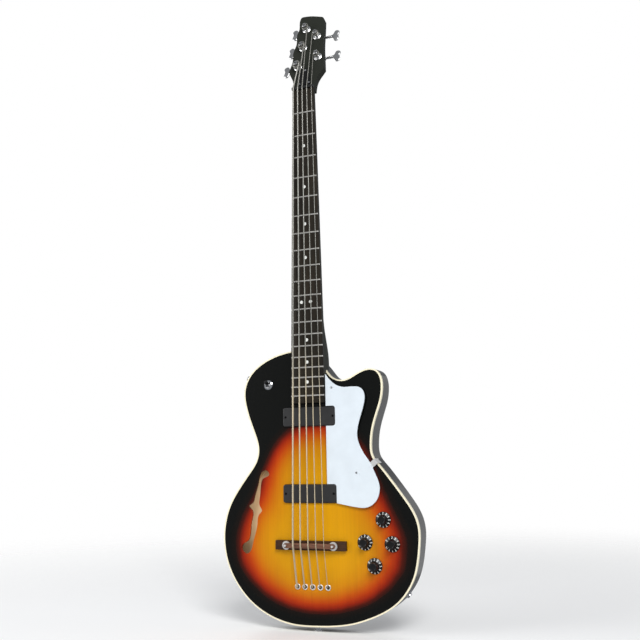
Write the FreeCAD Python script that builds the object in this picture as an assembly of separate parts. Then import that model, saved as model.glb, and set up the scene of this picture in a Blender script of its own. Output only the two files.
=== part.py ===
"""Electro-acoustic five-string bass guitar with one cutaway, in millimetres.

The origin is the seat of the strap button on the tail, on the centre line and half way through the rim.
X runs to the treble side, Y from the front of the body to its back, and Z from the tail up the neck.
Each function builds one sub-part, and the last function writes them all out under their names.
"""

import FreeCAD
import Part
import functools
import math
import os

Vector = FreeCAD.Vector
Rotation = FreeCAD.Rotation
Placement = FreeCAD.Placement

# Body, seen from the front

body_length = 489.0
body_outline_shares = (
    (-0.361, 0.284), (-0.358, 0.349), (-0.336, 0.422), (-0.292, 0.492),
    (-0.249, 0.547), (-0.220, 0.591), (-0.213, 0.635), (-0.225, 0.680), (-0.248, 0.736),
    (-0.267, 0.791), (-0.275, 0.832), (-0.272, 0.873), (-0.246, 0.922), (-0.196, 0.962),
    (-0.129, 0.989), (-0.074, 0.998), (-0.033, 0.994), (0.008, 0.975), (0.041, 0.948),
    (0.068, 0.915), (0.085, 0.895), (0.105, 0.883), (0.125, 0.879), (0.149, 0.883),
    (0.180, 0.899), (0.209, 0.912), (0.236, 0.916), (0.262, 0.906), (0.276, 0.884),
    (0.281, 0.850), (0.275, 0.802), (0.259, 0.752), (0.242, 0.695), (0.236, 0.646),
    (0.242, 0.599), (0.265, 0.568), (0.304, 0.519), (0.356, 0.448), (0.390, 0.389),
    (0.401, 0.338), (0.399, 0.294), (0.392, 0.243), (0.378, 0.188), (0.350, 0.135),
    (0.310, 0.091), (0.263, 0.060), (0.212, 0.037), (0.155, 0.018), (0.082, 0.005),
    (0.000, 0.000), (-0.078, 0.002), (-0.154, 0.020), (-0.242, 0.067), (-0.307, 0.135),
    (-0.347, 0.212),
)
outline_steps = 144

# Body, from front to back

dome_radius = 3200.0
dome_front = -28.0
dome_crown_height = 241.0
back_face = 21.5
top_thickness = 3.5
back_thickness = 3.5
rim_thickness = 2.5
binding_width = 2.5
binding_depth = 6.0
lining_width = 6.0
lining_depth = 9.0
seat_gap = 0.05
block_half_width = 60.0

# Sound hole

f_hole_length = 149.0
f_hole_centre = (-110.0, 196.0)
f_hole_shares = (
    (0.136, 0.501), (0.081, 0.469), (0.034, 0.324), (-0.013, 0.174), (-0.050, 0.097),
    (-0.088, 0.069), (-0.055, 0.030), (-0.055, -0.107), (-0.073, -0.241), (-0.114, -0.349),
    (-0.164, -0.377), (-0.194, -0.419), (-0.178, -0.473), (-0.131, -0.499), (-0.082, -0.477),
    (-0.040, -0.379), (-0.004, -0.263), (0.027, -0.134), (0.057, -0.023), (0.091, 0.017),
    (0.066, 0.064), (0.063, 0.174), (0.077, 0.295), (0.107, 0.396), (0.151, 0.420),
    (0.192, 0.446), (0.178, 0.485),
)

# Scale, fretboard and frets

scale_length = 864.0
nut_height = 995.0
fret_count = 20
board_end_height = 390.0
board_half_width_at_nut = 21.9
board_half_width_at_end = 33.0
board_face = -34.8
board_thickness = 6.3
board_radius = 400.0
fret_height = 1.2
fret_width = 2.6
fret_tang_depth = 1.8
fret_tang_width = 0.6
dot_radius = 3.1
dot_depth = 1.5
single_dot_frets = (3, 5, 7, 9, 15, 17, 19)
double_dot_fret = 12
double_dot_spread = 18.0

# Neck, heel and tenon

neck_depth_at_nut = 15.7
neck_depth_at_heel = 20.5
heel_depth = 48.5
heel_start_height = 552.0
heel_full_height = 468.0
neck_roundness = 2.1
heel_roundness = 3.2
neck_steps = 40
tenon_half_width = 20.0
tenon_depth = 46.0
tenon_end_height = 425.0

# Headstock, measured along its own face from the end of the nut

head_tilt = 14.0
head_length = 180.0
head_thickness = 13.0
head_root = 9.0
head_treble_shares = ((0.125, 0.000), (0.128, 0.040), (0.146, 0.110), (0.175, 0.163), (0.213, 0.222))
head_treble_side_shares = ((0.213, 0.222), (0.197, 0.378), (0.181, 0.534), (0.174, 0.722), (0.167, 0.896))
head_tip_shares = (
    (0.167, 0.896), (0.163, 0.918), (0.146, 0.938), (0.106, 0.956), (0.050, 0.975),
    (-0.010, 0.991), (-0.070, 0.999), (-0.106, 0.997), (-0.122, 0.975),
)
head_bass_side_shares = (
    (-0.122, 0.975), (-0.127, 0.890), (-0.126, 0.820), (-0.142, 0.770), (-0.144, 0.690),
    (-0.142, 0.610), (-0.162, 0.545), (-0.170, 0.460), (-0.167, 0.385), (-0.184, 0.310), (-0.199, 0.248),
)
head_bass_shares = ((-0.199, 0.248), (-0.167, 0.176), (-0.138, 0.110), (-0.127, 0.050), (-0.125, 0.000))

# Nut and truss rod

nut_width = 5.0
nut_half_length = 22.0
nut_rise = 2.2
truss_rod_width = 6.0
truss_rod_depth = 9.0
truss_rod_end_height = 440.0
truss_nut_radius = 2.8
truss_nut_length = 12.0
truss_pocket_half_width = 6.5
truss_pocket_length = 30.0
truss_pocket_depth = 9.5
cover_length = 38.5
cover_start = 6.0
cover_half_width = 13.5
cover_tip_half_width = 6.5
cover_thickness = 2.0

# Strings, from the bass side to the treble side

string_diameters = (3.3, 2.7, 2.15, 1.65, 1.15)
nut_string_spread = 37.4
saddle_string_spread = 58.0
ferrule_string_spread = 57.6
nut_action = 0.6
saddle_action = 5.6
string_gap = 0.3
slot_gap = 0.12
wrap_turns = 1.75
wrap_gap = 0.55
wrap_start = 12.0
ball_radius = 2.9
bend_swell = 0.02

# Bridge, floating on the top

saddle_height = 139.5
foot_half_length = 67.0
foot_width = 16.5
foot_face = -33.4
stud_half_spread = 44.5
stud_radius = 2.0
stud_rise = 0.9
wheel_radius = 7.6
wheel_thickness = 2.0
wheel_travel = 1.2
wheel_running_gap = 0.08
wheel_grip_count = 24
wheel_grip_radius = 0.6
saddle_width = 8.5
saddle_crest_width = 2.4
saddle_shoulder = 1.6
saddle_slot_depth = 0.8

# String ferrules

ferrule_height = 68.0
ferrule_flange_radius = 5.3
ferrule_flange_thickness = 1.2
ferrule_sleeve_radius = 4.0
ferrule_sleeve_length = 12.0
ferrule_hole_radius = 2.2

# Pickups

pickup_half_length = 51.0
pickup_corner_radius = 4.0
pickup_depth = 20.0
pickup_gap = 0.5
neck_pickup_height = 365.6
neck_pickup_width = 34.2
neck_pickup_face = -30.0
bridge_pickup_height = 229.0
bridge_pickup_width = 32.0
bridge_pickup_face = -32.0
pickup_screw_inset = 5.0

# Pickguard and its rim bracket

guard_length = 236.0
guard_edge = 34.0
guard_base_height = 205.0
guard_face = -32.5
guard_thickness = 2.5
guard_notch_gap = 0.6
guard_edge_shares = (
    (0.000, 1.000), (0.034, 0.956), (0.085, 0.913), (0.144, 0.894), (0.212, 0.894),
    (0.263, 0.890), (0.297, 0.867), (0.312, 0.826), (0.308, 0.775), (0.292, 0.716),
    (0.269, 0.648), (0.251, 0.581), (0.247, 0.521), (0.261, 0.462), (0.294, 0.396),
    (0.335, 0.337), (0.369, 0.269), (0.400, 0.195), (0.410, 0.136), (0.392, 0.068),
    (0.347, 0.019), (0.286, 0.000), (0.211, 0.007), (0.076, 0.032),
)
guard_upper_screw = (45.6, 415.8)
guard_lower_screw = (89.0, 264.8)
spacer_radius = 5.0
bracket_width = 10.0
bracket_thickness = 1.5
bracket_tab_radius = 7.5
bracket_crossing = (124.5, 284.5)
bracket_reach = 37.0
bracket_leg_end = -8.0
bracket_screw_inset = 6.0

# Controls on the top

knob_places = (
    ("neck_volume_knob", 133.7, 185.0),
    ("neck_tone_knob", 148.1, 144.4),
    ("bridge_volume_knob", 99.9, 146.5),
    ("bridge_tone_knob", 115.6, 107.4),
)
bushing_radius = 4.7
bushing_gap = 0.1
bushing_rise = 4.6
panel_nut_radius = 7.2
panel_nut_thickness = 2.2
pot_radius = 12.0
pot_depth = 9.5
shaft_radius = 3.0
shaft_gap = 0.1
shaft_rise = 12.0
shaft_split = 0.9
knob_lift = 0.8
knob_skirt_radius = 13.5
knob_skirt_edge = 1.3
knob_cone_height = 4.2
knob_cap_radius = 7.9
knob_cap_top_radius = 7.2
knob_height = 15.5
knob_cavity_radius = 9.0
knob_cavity_height = 2.6
knob_flute_count = 18
knob_flute_radius = 0.8

# Selector switch on the bass shoulder

switch_place = (-83.5, 426.9)
switch_body_width = 18.0
switch_body_length = 24.0
switch_body_depth = 24.0
switch_bushing_radius = 6.0
switch_bushing_rise = 3.6
switch_bore_radius = 4.9
switch_nut_radius = 8.8
switch_nut_thickness = 3.0
switch_ball_radius = 3.2
switch_pin_radius = 0.9
switch_pin_half_length = 4.6
switch_pivot_depth = 2.0
switch_lever_radius = 1.5
switch_lever_length = 15.0
switch_tip_radius = 3.3
switch_tip_length = 10.0
switch_lean = 17.0

# Output jack on the lower treble rim

jack_toward = (190.0, 40.0)
jack_rise = 4.5
jack_bore_radius = 3.25
jack_body_radius = 6.4
jack_body_length = 22.0
jack_wall = 2.0

# Strap buttons

button_toward = (-150.0, 452.0)
button_base_radius = 7.5
button_waist_radius = 4.0
button_rim_radius = 6.6
button_length = 8.5
button_edge = 1.4
button_screw_radius = 1.9
button_screw_head_radius = 3.4
button_screw_length = 24.0
strap_block_half_length = 13.0
strap_block_thickness = 16.0

# Tuners: each post stands across and along the headstock, and leans its key to one side

tuner_places = (
    (-16.6, 52.4, -1), (-9.5, 98.4, -1), (-6.0, 144.4, -1), (18.1, 121.9, 1), (24.0, 69.2, 1),
)
post_radius = 4.5
post_waist_radius = 3.9
post_rise = 15.5
post_slot_width = 2.2
post_slot_depth = 6.0
post_gap = 0.08
bushing_flange_radius = 8.4
bushing_flange_thickness = 2.2
bushing_sleeve_radius = 6.4
bushing_sleeve_length = 9.0
plate_half_width = 8.8
plate_below = 10.0
plate_above = 19.0
plate_thickness = 1.6
gear_teeth = 20
gear_radius = 6.6
gear_root_radius = 5.6
gear_thickness = 5.0
gear_mid_depth = 6.2
gear_hub_radius = 3.0
worm_radius = 3.2
worm_root_radius = 2.4
worm_gap = 0.2
worm_half_length = 5.4
ear_thickness = 2.2
ear_half_width = 4.4
ear_gap = 0.2
journal_radius = 2.0
journal_gap = 0.06
key_stem_radius = 2.7
key_start = 22.5
key_lobe_radius = 7.0
key_lobe_spread = 6.4
key_lobe_reach = 10.0
key_thickness = 3.6

# Small wood screws, all alike

screw_head_radius = 2.1
screw_head_height = 1.0
screw_radius = 1.2
screw_length = 9.0
screw_cross_width = 0.7
screw_cross_depth = 0.6

# Spare length that cuts run past a face
overrun = 20.0

FRONT = Vector(0, -1, 0)
UP = Vector(0, 0, 1)


def box(x0, x1, y0, y1, z0, z1):
    return Part.makeBox(x1 - x0, y1 - y0, z1 - z0, Vector(x0, y0, z0))


def rod(radius, start, end):
    return Part.makeCylinder(radius, (end - start).Length, start, end - start)


def up(height):
    """A point on the Z axis, for pieces drawn standing up before they are placed."""
    return Vector(0, 0, height)


def standing_rod(radius, low, high):
    return rod(radius, up(low), up(high))


def standing_tube(outer, inner, low, high):
    return standing_rod(outer, low, high).cut(standing_rod(inner, low - overrun, high + overrun))


def turned(points):
    """A solid turned about the Z axis from (radius, height) points."""
    corners = [Vector(radius, 0, height) for radius, height in points]
    face = Part.Face(Part.makePolygon(corners + [corners[0]]))
    return face.revolve(up(0), UP, 360)


def plan_prism(curve, front, back):
    """A closed curve in the XZ plane, drawn out from one depth to another."""
    face = Part.Face(Part.Wire([curve.toShape()]))
    face.translate(Vector(0, front, 0))
    return face.extrude(Vector(0, back - front, 0))


def plan_polygon(points, front, back):
    corners = [Vector(x, front, z) for x, z in points]
    face = Part.Face(Part.makePolygon(corners + [corners[0]]))
    return face.extrude(Vector(0, back - front, 0))


def joined(shapes):
    first = shapes[0]
    if len(shapes) == 1:
        return first
    return first.multiFuse(shapes[1:]).removeSplitter()


def without(shape, cutters):
    return shape.cut(Part.makeCompound(cutters))


def moved(shape, placement):
    copy = shape.copy()
    copy.Placement = placement.multiply(copy.Placement)
    return copy


# Shape of the body

def smooth_loop(shares, size, centre_x, centre_z):
    points = [Vector(centre_x + x * size, 0, centre_z + z * size) for x, z in shares]
    curve = Part.BSplineCurve()
    curve.interpolate(Points=points, PeriodicFlag=True)
    return curve


@functools.cache
def body_outline(inset):
    """The outline of the body in plan, moved inward by the inset."""
    edge = smooth_loop(body_outline_shares, body_length, 0, 0)
    if inset == 0:
        return edge
    span = edge.LastParameter - edge.FirstParameter
    points = []
    for step in range(outline_steps):
        place = edge.FirstParameter + span * step / outline_steps
        heading = edge.tangent(place)[0]
        points.append(edge.value(place) + Vector(heading.z, 0, -heading.x) * inset)
    curve = Part.BSplineCurve()
    curve.interpolate(Points=points, PeriodicFlag=True)
    return curve


@functools.cache
def dome(depth):
    """All that lies behind the arched front, or behind the same arch further in."""
    centre = Vector(0, dome_front + dome_radius, dome_crown_height)
    return Part.makeSphere(dome_radius - depth, centre)


def dome_point(x, z):
    across = x * x + (z - dome_crown_height) ** 2
    return Vector(x, dome_front + dome_radius - math.sqrt(dome_radius ** 2 - across), z)


def on_top(x, z):
    """Placement on the front with its local Z axis standing straight out of the arch."""
    point = dome_point(x, z)
    centre = Vector(0, dome_front + dome_radius, dome_crown_height)
    return Placement(point, Rotation(UP, point - centre))


@functools.cache
def on_rim(toward):
    """Placement on the rim nearest to a point in plan, with its local Z axis pointing outward."""
    curve = body_outline(0)
    place = curve.parameter(Vector(toward[0], 0, toward[1]))
    heading = curve.tangent(place)[0]
    outward = Vector(-heading.z, 0, heading.x)
    return Placement(curve.value(place), Rotation(UP, outward))


@functools.cache
def shell_ring(outer_inset, inner_inset, front, back):
    ring = plan_prism(body_outline(outer_inset), front, back)
    return ring.cut(plan_prism(body_outline(inner_inset), front - overrun, back + overrun))


def front_limit():
    return dome_front - overrun


def back_inside():
    return back_face - back_thickness


@functools.cache
def body_envelope():
    return plan_prism(body_outline(0), front_limit(), back_face).common(dome(0))


# Places along the strings

def fret_line(number):
    """Height of a fret, by equal steps of a twelfth of an octave."""
    return nut_height - scale_length * (1 - 2 ** (-number / 12))


def board_half_width(height):
    share = (nut_height - height) / (nut_height - board_end_height)
    return board_half_width_at_nut + (board_half_width_at_end - board_half_width_at_nut) * share


def board_back():
    return board_face + board_thickness


def board_arch(lift):
    """A long cylinder whose front is the arched face of the board, raised by the lift."""
    start = Vector(0, board_face + board_radius, 0)
    return rod(board_radius + lift, start, start + up(nut_height + head_length))


def board_front_at(x):
    return board_face + board_radius - math.sqrt(board_radius ** 2 - x * x)


def string_across(number, spread):
    return spread * (number / (len(string_diameters) - 1) - 1 / 2)


def nut_point(number):
    x = string_across(number, nut_string_spread)
    lift = fret_height + nut_action + string_diameters[number] / 2
    return Vector(x, board_front_at(x) - lift, nut_height + nut_width / 2)


def saddle_point(number):
    x = string_across(number, saddle_string_spread)
    lift = fret_height + saddle_action + string_diameters[number] / 2
    return Vector(x, board_front_at(x) - lift, saddle_height)


def ferrule_point(number):
    """Where a string bends at the mouth of its ferrule."""
    x = string_across(number, ferrule_string_spread)
    lift = ferrule_flange_thickness + string_gap + string_diameters[number] / 2
    return dome_point(x, ferrule_height) + FRONT * lift


def on_head():
    """Placement of the headstock's face: local X across, local Y along, local Z out of the face."""
    root = Vector(0, board_back(), nut_height + nut_width)
    return Placement(root, Rotation(Vector(1, 0, 0), 90 - head_tilt))


# Small wood screws

@functools.cache
def wood_screw():
    crown = screw_head_radius * 0.6
    head = turned(((0, 0), (screw_head_radius, 0), (crown, screw_head_height), (0, screw_head_height)))
    shank = standing_rod(screw_radius, -screw_length + screw_radius, 0)
    tip = Part.makeCone(0, screw_radius, screw_radius, up(-screw_length), UP)
    screw = joined([head, shank, tip])
    low = screw_head_height - screw_cross_depth
    reach = screw_head_radius * 0.5
    half = screw_cross_width / 2
    bar = box(-reach, reach, -half, half, low, screw_head_height + overrun)
    other = box(-half, half, -reach, reach, low, screw_head_height + overrun)
    return screw.cut(bar).cut(other)


def head_screw_places():
    """Placements of the screws on the headstock: three in the cover, three in each tuner plate."""
    head = on_head()
    places = []
    inset = screw_head_radius * 1.4
    for x, y in cover_screw_spots():
        places.append(head.multiply(Placement(Vector(x, y, cover_thickness), Rotation())))
    flip = Rotation(Vector(1, 0, 0), 180)
    low = -head_thickness - plate_thickness
    for x, y, side in tuner_places:
        corner = plate_half_width - inset
        spots = ((-corner, inset - plate_below), (corner, inset - plate_below), (0, plate_above - inset))
        for across, along in spots:
            places.append(head.multiply(Placement(Vector(x + across, y + along, low), flip)))
    return places


def cover_screw_spots():
    inset = screw_head_radius * 1.7
    side = cover_half_width - inset
    low = cover_start + inset
    return (0, cover_start + cover_length - inset), (-side, low), (side, low)


def pickup_screw_places():
    places = []
    for height, face in ((neck_pickup_height, neck_pickup_face), (bridge_pickup_height, bridge_pickup_face)):
        for side in (-1, 1):
            point = Vector(side * (pickup_half_length - pickup_screw_inset), face, height)
            places.append(Placement(point, Rotation(UP, FRONT)))
    return places


def guard_screw_places():
    return [Placement(Vector(x, guard_face, z), Rotation(UP, FRONT))
            for x, z in (guard_upper_screw, guard_lower_screw)]


def bracket_screw_place():
    rim = on_rim(bracket_crossing)
    depth = bracket_leg_end - bracket_screw_inset
    shift = Placement(Vector(0, depth, 0), Rotation())
    return shift.multiply(rim).multiply(Placement(up(bracket_thickness), Rotation()))


@functools.cache
def small_screws():
    places = head_screw_places() + pickup_screw_places() + guard_screw_places() + [bracket_screw_place()]
    screw = wood_screw()
    return [moved(screw, place) for place in places]


# Body pieces

@functools.cache
def sound_hole():
    curve = smooth_loop(f_hole_shares, f_hole_length, f_hole_centre[0], f_hole_centre[1])
    return plan_prism(curve, front_limit(), dome_front + overrun)


@functools.cache
def tenon():
    top = board_back()
    half = tenon_half_width
    block = box(-half, half, top, top + tenon_depth, tenon_end_height, body_length + overrun)
    return block.common(plan_prism(body_outline(0), front_limit(), back_face))


def pickup_box(height, width, face, gap):
    """A soapbar pickup, or the hole for it when a gap is given."""
    half = pickup_half_length + gap
    low = height - width / 2 - gap
    block = box(-half, half, face, face + pickup_depth + gap, low, low + width + gap + gap)
    upright = [edge for edge in block.Edges if abs(edge.tangentAt(edge.FirstParameter).y) > 1 / 2]
    return block.makeFillet(pickup_corner_radius + gap, upright)


@functools.cache
def pickup_holes():
    return [
        pickup_box(neck_pickup_height, neck_pickup_width, neck_pickup_face, pickup_gap),
        pickup_box(bridge_pickup_height, bridge_pickup_width, bridge_pickup_face, pickup_gap),
    ]


@functools.cache
def ferrule_wells():
    """Room for both rows of ferrules and the string holes between them."""
    wells = []
    for number in range(len(string_diameters)):
        x = string_across(number, ferrule_string_spread)
        front = Vector(x, front_limit(), ferrule_height)
        mouth = dome_point(x, ferrule_height)
        back = Vector(x, back_face, ferrule_height)
        wells.append(rod(ferrule_sleeve_radius, front, mouth - FRONT * ferrule_sleeve_length))
        wells.append(rod(ferrule_hole_radius, front, back))
        wells.append(rod(ferrule_sleeve_radius, back + FRONT * ferrule_sleeve_length, back - FRONT * overrun))
        flange_seat = back + FRONT * ferrule_flange_thickness
        wells.append(rod(ferrule_flange_radius, flange_seat, back - FRONT * overrun))
    return wells


def control_holes():
    holes = []
    for name, x, z in knob_places:
        holes.append(moved(standing_rod(bushing_radius + bushing_gap, -overrun, overrun), on_top(x, z)))
    switch = standing_rod(switch_bushing_radius + bushing_gap, -overrun, overrun)
    holes.append(moved(switch, on_top(switch_place[0], switch_place[1])))
    return holes


def body_top():
    plate = plan_prism(body_outline(binding_width), front_limit(), dome_front + overrun)
    plate = plate.common(dome(0)).cut(dome(top_thickness))
    cutters = [sound_hole(), tenon()] + pickup_holes() + ferrule_wells() + control_holes()
    return without(plate, cutters + small_screws())


def body_back():
    plate = plan_prism(body_outline(0), back_inside(), back_face)
    return without(plate, ferrule_wells())


@functools.cache
def top_binding():
    ring = shell_ring(0, binding_width, front_limit(), dome_front + overrun)
    return ring.common(dome(0)).cut(dome(binding_depth)).cut(tenon())


def rims():
    """The two side bands, which meet at the tail and at the neck."""
    ring = shell_ring(0, rim_thickness, front_limit(), back_inside()).common(dome(binding_depth))
    jack_hole = moved(standing_rod(bushing_radius + bushing_gap, -overrun, overrun), on_rim(jack_toward))
    cutters = [tenon(), jack_hole, bracket_screw(), strap_screw_hole(tail_button_place())]
    cutters.append(strap_screw_hole(shoulder_button_place()))
    ring = without(ring, cutters)
    far = body_length + body_length
    bass = box(-far, 0, -far, far, -far, far)
    treble = box(0, far, -far, far, -far, far)
    return ring.common(bass), ring.common(treble)


def bracket_screw():
    return moved(wood_screw(), bracket_screw_place())


def lining(front, back):
    ring = shell_ring(rim_thickness, rim_thickness + lining_width, front, back)
    half = block_half_width
    return ring.cut(box(-half, half, front - overrun, back + overrun, -overrun, body_length + overrun))


@functools.cache
def top_linings():
    band = lining(front_limit(), dome_front + overrun)
    band = band.common(dome(top_thickness)).cut(dome(top_thickness + lining_depth))
    return band.cut(top_binding()).cut(bracket_screw())


@functools.cache
def back_linings():
    return lining(back_inside() - lining_depth, back_inside())


def center_block():
    block = plan_prism(body_outline(rim_thickness), front_limit(), back_inside())
    half = block_half_width
    across = box(-half, half, front_limit(), back_face, -overrun, body_length + overrun)
    block = block.common(across).common(dome(top_thickness)).cut(top_binding())
    cutters = [tenon(), strap_screw_hole(tail_button_place())] + pickup_holes() + ferrule_wells()
    return without(block, cutters + small_screws())


def strap_block():
    """A small block behind the rim, which the shoulder button's screw bites into."""
    place = shoulder_button_place()
    front = dome_front + lining_depth + lining_depth
    back = back_inside() - lining_depth
    half = strap_block_half_length
    block = box(-half, half, front, back, -strap_block_thickness, overrun)
    plan = Placement(Vector(place.Base.x, 0, place.Base.z), place.Rotation)
    block = moved(block, plan).common(plan_prism(body_outline(rim_thickness), front_limit(), back_face))
    return without(block, [strap_screw_hole(place), top_linings(), back_linings()])


# Neck pieces

def neck_depth(height):
    """Depth of the neck behind the fretboard: a slow taper, then a swept curve into the heel."""
    along = (nut_height - height) / (nut_height - heel_start_height)
    slim = neck_depth_at_nut + (neck_depth_at_heel - neck_depth_at_nut) * along
    if height >= heel_start_height:
        return slim
    sweep = min(1, (heel_start_height - height) / (heel_start_height - heel_full_height))
    blend = sweep * sweep * (3 - 2 * sweep)
    return neck_depth_at_heel + (heel_depth - neck_depth_at_heel) * blend


def neck_section(height):
    """A rounded D across the neck, squarer at the heel."""
    width = board_half_width(height)
    depth = neck_depth(height)
    fullness = (depth - neck_depth_at_nut) / (heel_depth - neck_depth_at_nut)
    power = 2 / (neck_roundness + (heel_roundness - neck_roundness) * fullness)
    points = []
    shares = [step / 16 for step in range(17)]
    for share in shares:
        angle = math.pi * share
        across = math.copysign(abs(math.cos(angle)) ** power, math.cos(angle))
        points.append(Vector(width * across, board_back() + depth * abs(math.sin(angle)) ** power, height))
    curve = Part.BSplineCurve()
    curve.interpolate(Points=points, Parameters=shares)
    return Part.Wire([curve.toShape(), Part.makeLine(points[-1], points[0])])


def neck_shaft():
    length = nut_height + nut_width - board_end_height
    heights = [board_end_height + length * step / neck_steps for step in range(neck_steps + 1)]
    return Part.makeLoft([neck_section(height) for height in heights], True, False)


def head_curve(shares):
    points = [Vector(x * head_length, y * head_length, 0) for x, y in shares]
    curve = Part.BSplineCurve()
    curve.interpolate(Points=points)
    return curve.toShape()


def headstock():
    """The tilted head, drawn flat and then leaned back behind the nut."""
    sides = (head_treble_shares, head_treble_side_shares, head_tip_shares, head_bass_side_shares,
             head_bass_shares)
    edges = [head_curve(shares) for shares in sides]
    first = head_treble_shares[0]
    last = head_bass_shares[-1]
    root = [Vector(last[0] * head_length, 0, 0), Vector(last[0] * head_length, -head_root, 0),
            Vector(first[0] * head_length, -head_root, 0), Vector(first[0] * head_length, 0, 0)]
    edges += [Part.makeLine(root[step], root[step + 1]) for step in range(3)]
    face = Part.Face(Part.Wire(Part.__sortEdges__(edges)))
    slab = face.extrude(up(-head_thickness))
    return moved(slab, on_head())


def truss_channel():
    half = truss_rod_width / 2
    top = board_back()
    channel = box(-half, half, top, top + truss_rod_depth, truss_rod_end_height, nut_height + overrun)
    pocket = box(-truss_pocket_half_width, truss_pocket_half_width, -overrun, truss_pocket_length,
                 -truss_pocket_depth, overrun)
    pocket = moved(pocket, on_head())
    front = box(-overrun, overrun, top, top + overrun, nut_height + nut_width, nut_height + head_length)
    return channel, pocket.common(front)


def tuner_bores():
    bores = []
    for x, y, side in tuner_places:
        middle = Vector(x, y, -bushing_sleeve_length)
        bores.append(rod(bushing_sleeve_radius, Vector(x, y, overrun), middle))
        bores.append(rod(post_radius + post_gap, middle, Vector(x, y, -head_thickness - overrun)))
    return [moved(bore, on_head()) for bore in bores]


def neck():
    in_front = box(-overrun - nut_half_length, nut_half_length + overrun, board_face - overrun, board_back(),
                   board_end_height, nut_height + nut_width)
    head = headstock().cut(in_front)
    solid = neck_shaft().fuse(head).cut(body_envelope()).fuse(tenon())
    return without(solid.removeSplitter(), list(truss_channel()) + tuner_bores() + small_screws())


def board_wedge(front, back):
    low = board_half_width(board_end_height)
    high = board_half_width(nut_height)
    points = ((-low, board_end_height), (low, board_end_height), (high, nut_height), (-high, nut_height))
    return plan_polygon(points, front, back)


def fret_bars(width, front_lift, back_lift):
    """One bar across the board at each fret, between two arches."""
    bars = []
    outer = board_arch(front_lift)
    inner = board_arch(back_lift)
    for number in range(1, fret_count + 1):
        middle = fret_line(number)
        half = board_half_width(middle)
        bar = box(-half, half, board_face - overrun, board_back(), middle - width / 2, middle + width / 2)
        bars.append(bar.common(outer).cut(inner))
    return bars


def dot_spots():
    spots = [(0, (fret_line(number) + fret_line(number - 1)) / 2) for number in single_dot_frets]
    middle = (fret_line(double_dot_fret) + fret_line(double_dot_fret - 1)) / 2
    return spots + [(-double_dot_spread / 2, middle), (double_dot_spread / 2, middle)]


def position_dots():
    dots = []
    for x, z in dot_spots():
        back = Vector(x, board_front_at(x) + dot_depth, z)
        dots.append(rod(dot_radius, back, back + FRONT * overrun).common(board_arch(0)))
    return dots


def fretboard():
    board = board_wedge(board_face - overrun, board_back()).common(board_arch(0))
    tangs = fret_bars(fret_tang_width, overrun, -fret_tang_depth)
    return without(board, tangs + position_dots())


def frets():
    crowns = fret_bars(fret_width, fret_height, 0)
    tangs = fret_bars(fret_tang_width, 0, -fret_tang_depth)
    return [crown.fuse(tang).removeSplitter() for crown, tang in zip(crowns, tangs)]


def string_slots(bend):
    """Square notches in a nut or saddle, along each string both ways from the bend in it."""
    slots = []
    for number, diameter in enumerate(string_diameters):
        route = string_route(number)
        half = diameter / 2 + slot_gap
        for start, low, high in ((bend - 1, -overrun, half), (bend, -half, overrun)):
            heading = route[start + 1] - route[start]
            lay = Rotation(Vector(1, 0, 0), Vector(0, 1, 0), heading, "ZXY")
            slots.append(moved(box(-half, half, -overrun, half, low, high), Placement(route[bend], lay)))
    return slots


def nut():
    half = nut_half_length
    block = box(-half, half, board_face - overrun, board_back(), nut_height, nut_height + nut_width)
    return without(block.common(board_arch(fret_height + nut_rise)), string_slots(3))


def truss_rod():
    half = truss_rod_width / 2
    top = board_back()
    middle = top + truss_rod_depth - truss_nut_radius
    bar = box(-half, half, top, top + truss_rod_depth, truss_rod_end_height, nut_height + nut_width)
    end = nut_height + nut_width
    hexagon = []
    for step in range(7):
        angle = math.radians(60 * step)
        x = truss_nut_radius * math.cos(angle)
        hexagon.append(Vector(x, middle + truss_nut_radius * math.sin(angle), end))
    nut_end = Part.Face(Part.makePolygon(hexagon)).extrude(up(truss_nut_length))
    return bar.fuse(nut_end).removeSplitter()


def truss_rod_cover():
    low = cover_start
    high = cover_start + cover_length
    tip = cover_tip_half_width
    points = ((-cover_half_width, low), (cover_half_width, low), (tip, high), (-tip, high))
    corners = [Vector(x, y, 0) for x, y in points]
    plate = Part.Face(Part.makePolygon(corners + [corners[0]])).extrude(up(cover_thickness))
    upright = [edge for edge in plate.Edges if abs(edge.tangentAt(edge.FirstParameter).z) > 1 / 2]
    plate = moved(plate.makeFillet(screw_head_radius, upright), on_head())
    return without(plate, small_screws())


# Tuners, drawn flat on the headstock's face with their post at the origin

def tuner_spot(number):
    x, y, side = tuner_places[number]
    return on_head().multiply(Placement(Vector(x, y, 0), Rotation()))


def tuner_bushing():
    bore = post_radius + post_gap
    points = ((bore, -bushing_sleeve_length), (bushing_sleeve_radius, -bushing_sleeve_length),
              (bushing_sleeve_radius, 0), (bushing_flange_radius, 0),
              (bushing_flange_radius, bushing_flange_thickness / 2),
              (bushing_sleeve_radius, bushing_flange_thickness), (bore, bushing_flange_thickness))
    return turned(points)


def post_bottom():
    return -head_thickness - gear_mid_depth - gear_thickness / 2


def tuner_post():
    waist = wrap_start + post_slot_depth / 4
    low = bushing_flange_thickness + string_gap
    shoulder = -head_thickness - gear_mid_depth + gear_thickness / 2
    step = post_radius - post_waist_radius
    points = ((0, post_bottom()), (gear_hub_radius, post_bottom()), (gear_hub_radius, shoulder),
              (post_radius, shoulder), (post_radius, low), (post_waist_radius, low + step),
              (post_waist_radius, waist), (post_radius, waist + step), (post_radius, post_rise - step),
              (post_waist_radius, post_rise), (0, post_rise))
    half = post_slot_width / 2
    slot = box(-overrun, overrun, -half, half, post_rise - post_slot_depth, post_rise + overrun)
    return turned(points).cut(slot)


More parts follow.
